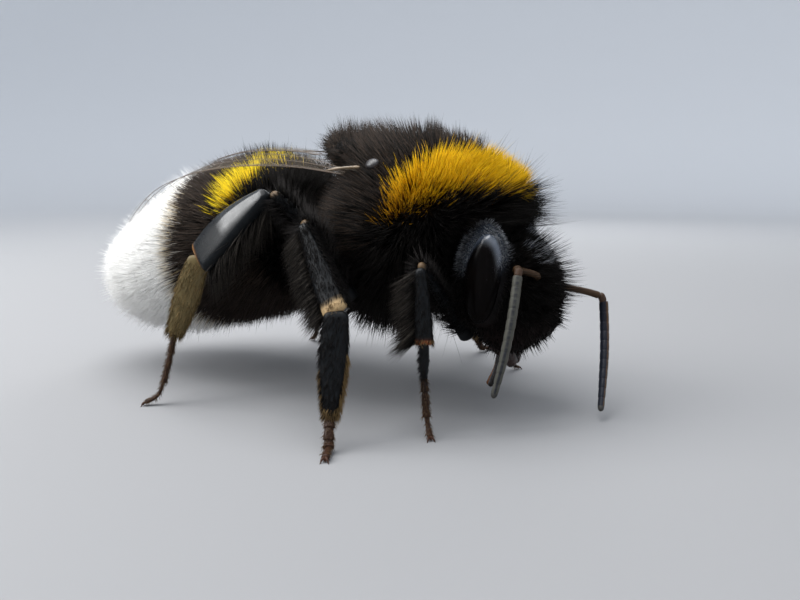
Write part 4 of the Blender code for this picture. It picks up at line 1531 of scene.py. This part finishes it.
def limb_hairs(limb, row, colours, leg, random, sweep=(0, 0, 0)):
    """Hairs on a limb, from a row of one of the tables below.

    Each hair takes one of the row's angles, loosened a little, or any at all. sweep is added to the way
    they all lean.
    """
    count, low, high, length, lean, out, face = row
    share = low + (high - low) * random.random(count)
    angle = random.random(count) * 2 * math.pi
    if face is not None:
        angle = (random.choice(face, count) + random.normal(size=count) * 0.035) * 2 * math.pi
    root, normal, along = limb.spots(share, angle)
    drift = random.normal(size=(count, 3)) * 0.18 + np.array(sweep)
    start = unit(normal * out + along * lean * 0.6 + drift * 0.5)
    end = unit(normal * out * 0.7 + along * lean * 1.3 + drift)
    tip = mixed(colours[0], colours[1], random.random(count) ** 1.5)
    place = np.stack([(leg + share) / LEGS, LEG_BAND[0] + LEG_BAND[1] * angle / (2 * math.pi) % 1], 1)
    # The roots at four tenths of the tip colour: painted shade deep in the leg's coat.
    return {"root": root - normal * 0.02, "start": start, "end": end, "low": tip * 0.4, "high": tip,
            "length": length * (0.6 + 0.5 * random.random(count)), "place": place,
            "width": np.full(count, LEG_HAIR) * (0.7 + 0.5 * random.random(count))}


def gathered(batches):
    """One dict of arrays from several."""
    return {key: np.concatenate([batch[key] for batch in batches]) for key in batches[0]}


JET, SOOT, GINGER = (0.006, 0.005, 0.005), (0.024, 0.020, 0.018), (0.42, 0.28, 0.12)
SMOKY = (0.10, 0.085, 0.07)
LEGS = len(PAIRS) * len(SIDES)
LEG_HAIR = 0.028  # width of a leg's hair at its root
LONG_HAIR = 1.0  # hairs longer than this have smoky tips
# Faces of a limb, in turns: its fringed edge, the edge across from it and its outer side
LONG_EDGE, SHORT_EDGE, OUTER = (0.0,), (0.5,), (0.20, 0.25, 0.30)
LOWER_EDGE = (-0.11, -0.08)  # the fringed edge, from its inner side
LEG_COAT = {  # dark hairs on each length: count, from, to, length, lean, out, faces
    "fore": (("femur", 1300, 0.10, 0.97, 0.70, 0.7, 0.8, None),
             ("tibia", 900, 0.04, 0.95, 0.30, 1.2, 0.4, None),
             ("tibia", 1100, 0.02, 0.95, 1.15, 0.8, 1.0, LONG_EDGE),
             ("tibia", 260, 0.06, 0.95, 0.35, 1.3, 0.5, SHORT_EDGE),
             ("basitarsus", 350, 0.0, 1.0, 0.24, 1.1, 0.5, None)),
    "mid": (("femur", 1700, 0.10, 0.97, 0.85, 0.6, 0.9, None),
            ("tibia", 1500, 0.0, 0.86, 0.36, 1.3, 0.42, None),
            ("tibia", 1700, 0.02, 0.96, 1.05, 0.8, 1.0, LONG_EDGE),
            ("tibia", 650, 0.02, 0.93, 0.60, 1.0, 0.8, SHORT_EDGE),
            ("basitarsus", 1700, 0.0, 0.97, 0.34, 1.3, 0.5, None)),
    "hind": (("femur", 1700, 0.10, 0.97, 0.90, 0.6, 0.9, None),
             ("tibia", 420, 0.02, 0.95, 0.34, 1.1, 0.6, (0.70, 0.75, 0.80)),
             ("tibia", 620, 0.03, 0.97, 1.75, 0.8, 0.9, LOWER_EDGE),
             ("tibia", 160, 0.03, 0.85, 0.40, 1.4, 0.30, (0.55,)),
             ("basitarsus", 1900, 0.0, 1.0, 0.40, 1.5, 0.32, None)),
}
LEG_TRIM = {  # pale hairs
    "fore": (("tibia", 120, 0.9, 1.0, 0.16, 0.9, 0.8, None),),
    "mid": (("tibia", 90, 0.90, 1.0, 0.16, 0.9, 0.8, OUTER),
            ("basitarsus", 420, 0.40, 1.0, 0.40, 1.4, 0.6, SHORT_EDGE),
            ("basitarsus", 260, 0.55, 1.0, 0.34, 1.4, 0.6, LONG_EDGE),
            ("basitarsus", 240, 0.90, 1.0, 0.34, 1.5, 0.4, None)),
    "hind": (),
}
SWEEP = {"fore": (-0.45, 0.0, -0.05), "mid": (-0.30, 0.0, 0.0), "hind": (-0.10, 0.0, -0.12)}


def leg_coat(pair, limbs, leg, random):
    """All hairs of one leg."""
    batches = []
    for kind, *row in LEG_COAT[pair]:
        colours = (OLIVE_DARK, GINGER) if (pair, kind) == ("hind", "basitarsus") else (JET, SOOT)
        if row[3] > LONG_HAIR:
            colours = (JET, SMOKY)
        batches.append(limb_hairs(limbs[kind], row, colours, leg, random, SWEEP[pair]))
    for kind, *row in LEG_TRIM[pair]:
        batches.append(limb_hairs(limbs[kind], row, (TAN, GINGER), leg, random))
    return gathered(batches)


# Where each pair's shin takes another colour, and which
SHIN_ENDS = {"fore": (0.90, (0.20, 0.06, 0.02)), "mid": (0.86, IVORY), "hind": (0.955, AMBER)}


def leg_tints(kind, pair, points, limb):
    """Tints of a length: black, with the paler patches at its far end; the knee's pale brown is partly its
    own and partly a painted glint.
    """
    tints = np.tile(np.array(BLACK_SHELL), (len(points), 1))
    ends = limb.path[[0, -1]]
    share = ((points - ends[0]) @ (ends[1] - ends[0])) / ((ends[1] - ends[0]) @ (ends[1] - ends[0]))
    if kind == "tibia":
        start, colour = SHIN_ENDS[pair]
        tints = mixed(tints, colour, step_between(share, start, start + 0.05))
    # A pale brown knee: partly the joint's own brown, partly a painted glint.
    if kind == "femur":
        tints = mixed(tints, (0.16, 0.10, 0.05), step_between(share, 0.965, 0.995) * 0.7)
    if kind == "basitarsus" and pair == "hind":
        tints = mixed(tints, OLIVE, 0.7)
    return tints


class BEE_OT_legs(bpy.types.Operator):
    """Six legs of horny lengths with their claws, bristles and fringes"""
    bl_idname = "bee.legs"
    bl_label = "Legs"

    def execute(self, context):
        shell = shell_finish("leg shell", 0.40, 0.06, 0.002, 0.16)
        gloss = basket_finish()
        hair = coat_finish()
        tree, keys = bristle_tree()
        for number, (pair, (side, sign)) in enumerate((p, s) for p in PAIRS for s in SIDES.items()):
            random = np.random.default_rng(LEG_SEED + number)
            femur, tibia, basitarsus, rest = lengths_of_leg(pair, side, sign)
            limbs = {"femur": femur, "tibia": tibia, "basitarsus": basitarsus}
            for kind, limb in limbs.items():
                shape = limb.shape()
                surface = gloss if kind == "tibia" and pair == "hind" else shell
                name = f"{kind}_{pair}_{side}"
                obj = painted(tri_object(name, *shape), surface, leg_tints(kind, pair, shape[0], limb))
                if surface is gloss:
                    with_values(obj, "rim", polished_field(limb))
                finish(obj, "cuticle", name)
            joints, claws = foot_shapes(rest, BASITARSUS[pair][1] * 0.9 + 0.02)
            name = f"tarsus_{pair}_{side}"
            tinted(name, joints, shell, FOOT_BROWN, "cuticle", name, vary=0.3)
            tinted(f"claws_{pair}_{side}", claws, shell, CLAW_BROWN, "cuticle")
            hairs = leg_coat(pair, limbs, number, random)
            hair_object(f"coat_leg_{pair}_{side}", hairs, hair, bends=0)
            along = unit(rest[-1] - rest[0])
            source = tri_object("source", *joints)
            with_tints(source, np.tile(BRISTLE_BROWN, (len(joints[0]), 1)))
            made = by_nodes(f"bristles_{pair}_{side}", source, tree, keys, {
                "Density": 210 / MM**2, "Length": 0.17 * MM, "Thickness": 0.011 * MM,
                "Lean": tuple(along * 1.3), "Seed": number, "Material": hair})
            mark_bristles(made, number)
            finish(made, "black_coat")
        return {"FINISHED"}


def mark_bristles(obj, leg):
    """Keeps four-cornered spines above the floor and gives them an OFBake map, a patch for each."""
    points = above_floor(mesh_arrays(obj.data)[0])
    obj.data.vertices.foreach_set("co", points.astype(np.float32).ravel())
    roots = points.reshape(-1, 4, 3).mean(1) / MM
    low, high = roots.min(0), roots.max(0)
    share = (roots - low) / (high - low)
    place = np.stack([(leg + share[:, 2]) / LEGS, LEG_BAND[0] + LEG_BAND[1] * share[:, 0]], 1)
    corners = np.array([(-0.5, -0.5), (0.5, -0.5), (-0.5, 0.5), (0.5, 0.5)]) * HAIR_PATCH
    spots = (place[:, None] + corners[None]).reshape(-1, 2)
    index = np.empty(len(obj.data.loops), np.int32)
    obj.data.loops.foreach_get("vertex_index", index)
    for layer in list(obj.data.uv_layers):
        obj.data.uv_layers.remove(layer)
    layer = obj.data.uv_layers.new(name="OFBake")
    layer.data.foreach_set("uv", spots[index].astype(np.float32).ravel())


# ---------------------------------------------------------------- wings

WING_SKIN = 0.012  # half thickness of the membrane
PLEAT = 0.025  # height of its folds
WING_DROP = 0.38  # how far the membrane lies under the middle of its solid
WING_SAG = 0.30  # how much lower still its tip lies
WING_SLICES = 26  # in which its outline is read from the solid
WING_ROWS, WING_COLUMNS = 70, 18
VEIN = 0.016  # radius; the front one is thicker and the others thinner
VEIN_STEPS = 12


def wing_lines(name, sign):
    """(front edge, rear edge) of a wing's membrane, as points from root to tip."""
    points = node_points(name)
    low, high = points.min(0), points.max(0)
    edges = np.linspace(high[0] - 0.02, low[0] + 0.02, WING_SLICES)
    front, rear = [], []
    for near, far in zip(edges, edges[1:]):
        some = points[(points[:, 0] <= near + 0.35) & (points[:, 0] >= far - 0.35)]
        if len(some) < 4:
            continue
        across = some[:, 1] * sign
        for line, pick in ((front, across.argmax()), (rear, across.argmin())):
            level = some[:, 2][np.abs(across - across[pick]) < 0.3].mean()
            line.append(((near + far) / 2, some[pick, 1], level))
    share = np.linspace(0, 1, len(front))[:, None]
    drop = (WING_DROP + WING_SAG * share**2) * (0, 0, 1)
    front, rear = fitted(np.array(front)) - drop, fitted(np.array(rear)) - drop
    tip = np.sqrt(np.clip(1 - (np.maximum(share - 0.80, 0) / 0.205) ** 2, 0.001, 1))
    middle = (front + rear) / 2
    return middle + (front - middle) * tip, middle + (rear - middle) * tip


def fitted(line):
    """A line's points moved onto a smooth curve through them."""
    place = np.linspace(-1, 1, len(line))
    return np.stack([np.polyval(np.polyfit(place, line[:, k], 4), place) for k in range(3)], 1)


VEINS = {  # each vein: (share along, share across) at its start and end
    "fore": (((0.0, 0.02), (0.62, 0.03)), ((0.0, 0.10), (0.55, 0.16)), ((0.0, 0.42), (0.52, 0.55)),
             ((0.52, 0.55), (0.86, 0.62)), ((0.55, 0.16), (0.88, 0.30)), ((0.62, 0.03), (0.93, 0.16)),
             ((0.44, 0.14), (0.47, 0.52)), ((0.66, 0.20), (0.68, 0.57)), ((0.78, 0.12), (0.79, 0.27)),
             ((0.22, 0.12), (0.30, 0.48)), ((0.0, 0.75), (0.60, 0.96))),
    "hind": (((0.0, 0.05), (0.70, 0.05)), ((0.0, 0.35), (0.85, 0.50)), ((0.35, 0.08), (0.42, 0.42))),
}


ROOT_BARS = (  # thick veins at a wing's root: share across the wing, radius, tint
    (0.04, 0.062, (0.17, 0.12, 0.07)), (0.22, 0.045, (0.06, 0.035, 0.02)), (0.42, 0.055, (0.24, 0.20, 0.15)),
)
VEIN_BROWN, SCALE_BLACK = (0.10, 0.065, 0.04), (0.022, 0.019, 0.020)


class BEE_OT_wings(bpy.types.Operator):
    """Four clear wings with raised veins, their pale roots and the scales over them"""
    bl_idname = "bee.wings"
    bl_label = "Wings"

    def execute(self, context):
        glass = wing_finish()
        horn = shell_finish("vein", 0.3, 0.08, 0.006, 0.5)
        for side, sign in SIDES.items():
            for kind in ("fore", "hind"):
                name = f"wing_{kind}_{side}"
                front, rear = wing_lines(name, sign)
                obj = membrane(name, front, rear)
                obj.data.materials.append(glass)
                finish(obj, "wing", name)
                shapes = []
                for place, ends in enumerate(VEINS[kind]):
                    shapes.append(vein(front, rear, *ends, VEIN * (1.35 if place == 0 else 0.75)))
                tinted("veins_" + name, joined(shapes), horn, VEIN_BROWN, "cuticle", vary=0.3)
            front, rear = wing_lines(f"wing_fore_{side}", sign)
            root = front[0] * 0.8 + rear[0] * 0.2
            root = root + (0, 0, WING_DROP * 0.6)
            for place, (share, thick, tint) in enumerate(ROOT_BARS):
                end = front[2] * (1 - share) + rear[2] * share
                start = root + (0.66 - 0.10 * place, -sign * 0.10 * place, -0.05 * place)
                bar = round_rod([start, start * 0.55 + end * 0.45 + (0, 0, 0.03), end],
                                lambda t: thick * (1 - 0.5 * t) * rounded(t, 0.1, 0.3), (0, 0, 1), 22, 12)
                tinted(f"wing_root_{side}_{place + 1}", bar, horn, tint, "amber", vary=0.45)
            scale = ball(root + (1.22, sign * 0.16, 0.12), (0.28, 0.22, 0.13),
                         frame_of(unit(np.array((-0.2, sign * 0.75, 0.75)))), 30, 20)
            tinted("tegula_" + side, scale, horn, SCALE_BLACK, "cuticle", vary=0.2)
        return {"FINISHED"}


def pleats(u, v):
    """How far the membrane rises at shares along and across it."""
    return PLEAT * np.sin(v * math.pi * 5) * np.sin(u * math.pi)


def membrane(name, front, rear):
    """A closed thin sheet between a wing's two edges, faintly pleated."""
    u = np.linspace(0, 1, WING_ROWS)
    lead, trail = along_line(front, u), along_line(rear, u)
    v = np.linspace(0, 1, WING_COLUMNS)
    sheet = lead[:, None] * (1 - v[None, :, None]) + trail[:, None] * v[None, :, None]
    sheet[..., 2] += pleats(u[:, None], v[None])
    up = np.array((0, 0, WING_SKIN))
    top, bottom = (sheet + up).reshape(-1, 3), (sheet - up).reshape(-1, 3)
    index = np.arange(WING_ROWS * WING_COLUMNS).reshape(WING_ROWS, WING_COLUMNS)
    a, b, c, d = index[:-1, :-1], index[1:, :-1], index[1:, 1:], index[:-1, 1:]
    grid = np.stack([a, b, c, d], -1).reshape(-1, 4)
    rim = np.concatenate([index[0], index[1:, -1], index[-1, -2::-1], index[-2:0:-1, 0]])
    after = np.roll(rim, -1)
    shift = index.size
    sides = np.stack([rim, after, after + shift, rim + shift], 1)
    faces = np.vstack([grid, grid[:, ::-1] + shift, sides])
    obj = tri_object(name, np.vstack([top, bottom]), faces)
    outward(obj)
    return obj


def outward(obj):
    """Turns every face of a closed mesh outwards."""
    bm = bmesh.new()
    bm.from_mesh(obj.data)
    bmesh.ops.recalc_face_normals(bm, faces=bm.faces)
    bm.to_mesh(obj.data)
    bm.free()


def vein(front, rear, start, end, radius):
    """A slightly bowed vein on the membrane, between two pairs of shares along and across it."""
    u = np.linspace(start[0], end[0], VEIN_STEPS)
    bow = 0.03 * np.sin(np.linspace(0, math.pi, VEIN_STEPS))
    v = np.linspace(start[1], end[1], VEIN_STEPS) + bow
    path = along_line(front, u) * (1 - v)[:, None] + along_line(rear, u) * v[:, None]
    path[:, 2] += pleats(u, v)
    return round_rod(path[[0, 3, 6, 9, 11]], lambda t: radius * (1 - 0.4 * t) * rounded(t, .02, .02),
                     (0, 0, 1), 16, 8)


# ---------------------------------------------------------------- stage

CAMERA_SPOT, AIM = (16.12, -27.73, 9.08), (0.2, 0, 5.2)  # the camera's place, and what the lamps face
LIGHTS = (  # name, direction from the bee, distance, size, watts
    ("sky", (-0.25, -0.05, 1.0), 80, 84, 0.085),
    ("window", (-0.9, -0.55, 0.75), 85, 64, 0.060),
    ("rim", (-0.2, 1.0, 0.6), 90, 50, 0.020),
)
COVE_RADIUS, COVE_HEIGHT, COVE_BEND = 260.0, 190.0, 130.0
COVE_STEPS, COVE_SIDES = 14, 96
# The floor's darker tone round the bee is a painted shade under it.
FLOOR_FADE = (15.0, 200.0)  # how far from the bee the floor's tone starts and stops changing


class BEE_OT_stage(bpy.types.Operator):
    """Pale floor with a round wall, soft lights and the camera"""
    bl_idname = "bee.stage"
    bl_label = "Stage"

    def execute(self, context):
        settings = context.scene.bee_stage
        scene = context.scene
        cove()
        world = bpy.data.worlds.new("room")
        world.use_nodes = True
        sky = world.node_tree.nodes["Background"].inputs
        sky["Color"].default_value = (0.86, 0.92, 1.0, 1)
        sky["Strength"].default_value = 0.92
        scene.world = world
        aim = Vector(AIM) * MM
        for name, way, distance, size, power in LIGHTS:
            lamp = bpy.data.lights.new(name, "AREA")
            lamp.shape = "DISK"
            lamp.size = size * MM
            lamp.energy = power
            obj = new_object(name, lamp)
            obj.location = aim + Vector(way).normalized() * distance * MM
            obj.rotation_euler = (obj.location - aim).to_track_quat("Z", "Y").to_euler()
        camera = new_object("camera", bpy.data.cameras.new("camera"))
        turn, rise = settings.turn, settings.rise
        back = Vector((math.sin(turn) * math.cos(rise), -math.cos(turn) * math.cos(rise),
                       math.sin(rise)))
        camera.location = Vector(CAMERA_SPOT) * MM
        camera.rotation_euler = back.to_track_quat("Z", "Y").to_euler()
        camera.data.lens = settings.lens
        camera.data.sensor_width = 36.0
        camera.data.clip_start = 0.5 * MM
        camera.data.clip_end = 2.0
        scene.camera = camera
        scene.view_settings.view_transform = "Standard"
        return {"FINISHED"}


def cove():
    """A floor that curves up into a round wall."""
    arc = np.linspace(0, math.pi / 2, COVE_STEPS)
    rings = [(0.01, 0.0), (12.0, 0.0), (60.0, 0.0)]
    rings += [(COVE_RADIUS - COVE_BEND * (1 - math.sin(a)), COVE_BEND * (1 - math.cos(a))) for a in arc]
    rings.append((COVE_RADIUS, COVE_HEIGHT))
    angle = np.arange(COVE_SIDES) * 2 * math.pi / COVE_SIDES
    points = np.array([(r * math.cos(a), r * math.sin(a), z) for r, z in rings for a in angle])
    index = np.arange(len(points)).reshape(len(rings), COVE_SIDES)
    a, b = index[:-1], index[1:]
    faces = np.stack([a, b, np.roll(b, -1, 1), np.roll(a, -1, 1)], -1).reshape(-1, 4)
    obj = tri_object("floor", points - (0, 0, 0.004), faces)
    # The near tone is dark: painted shade on the floor round the bee.
    obj.data.materials.append(paper_finish("floor", (0.27, 0.27, 0.275), (0.72, 0.73, 0.75)))


# ---------------------------------------------------------------- add-on

STEPS = (BEE_OT_skin, BEE_OT_coat, BEE_OT_eyes, BEE_OT_mouth, BEE_OT_feelers, BEE_OT_legs, BEE_OT_wings,
         BEE_OT_stage)


class BEE_PT_panel(bpy.types.Panel):
    """Lists the bee's sizes, colours and pieces"""
    bl_idname = "BEE_PT_panel"
    bl_label = "Bumblebee"
    bl_space_type = "VIEW_3D"
    bl_region_type = "UI"
    bl_category = "Bumblebee"

    def draw(self, context):
        for title, group in (("Skin", context.scene.bee_skin), ("Coat", context.scene.bee_coat),
                             ("Stage", context.scene.bee_stage)):
            box = self.layout.box()
            box.label(text=title)
            for name in group.bl_rna.properties.keys():
                if name not in ("rna_type", "name"):
                    box.prop(group, name)
        for step in STEPS:
            self.layout.operator(step.bl_idname)


GROUPS = {"bee_coat": BeeCoat, "bee_skin": BeeSkin, "bee_stage": BeeStage}


def register():
    """Makes the settings, steps and panel known."""
    for made in (*GROUPS.values(), *STEPS, BEE_PT_panel):
        bpy.utils.register_class(made)
    for name, group in GROUPS.items():
        setattr(bpy.types.Scene, name, PointerProperty(type=group))


def unregister():
    """Takes them back."""
    for name in GROUPS:
        delattr(bpy.types.Scene, name)
    for made in reversed((*GROUPS.values(), *STEPS, BEE_PT_panel)):
        bpy.utils.unregister_class(made)


def main():
    """Builds the whole bee and its stage."""
    register()
    for step in STEPS:
        group, name = step.bl_idname.split(".")
        getattr(getattr(bpy.ops, group), name)()


if __name__ == "__main__":
    main()
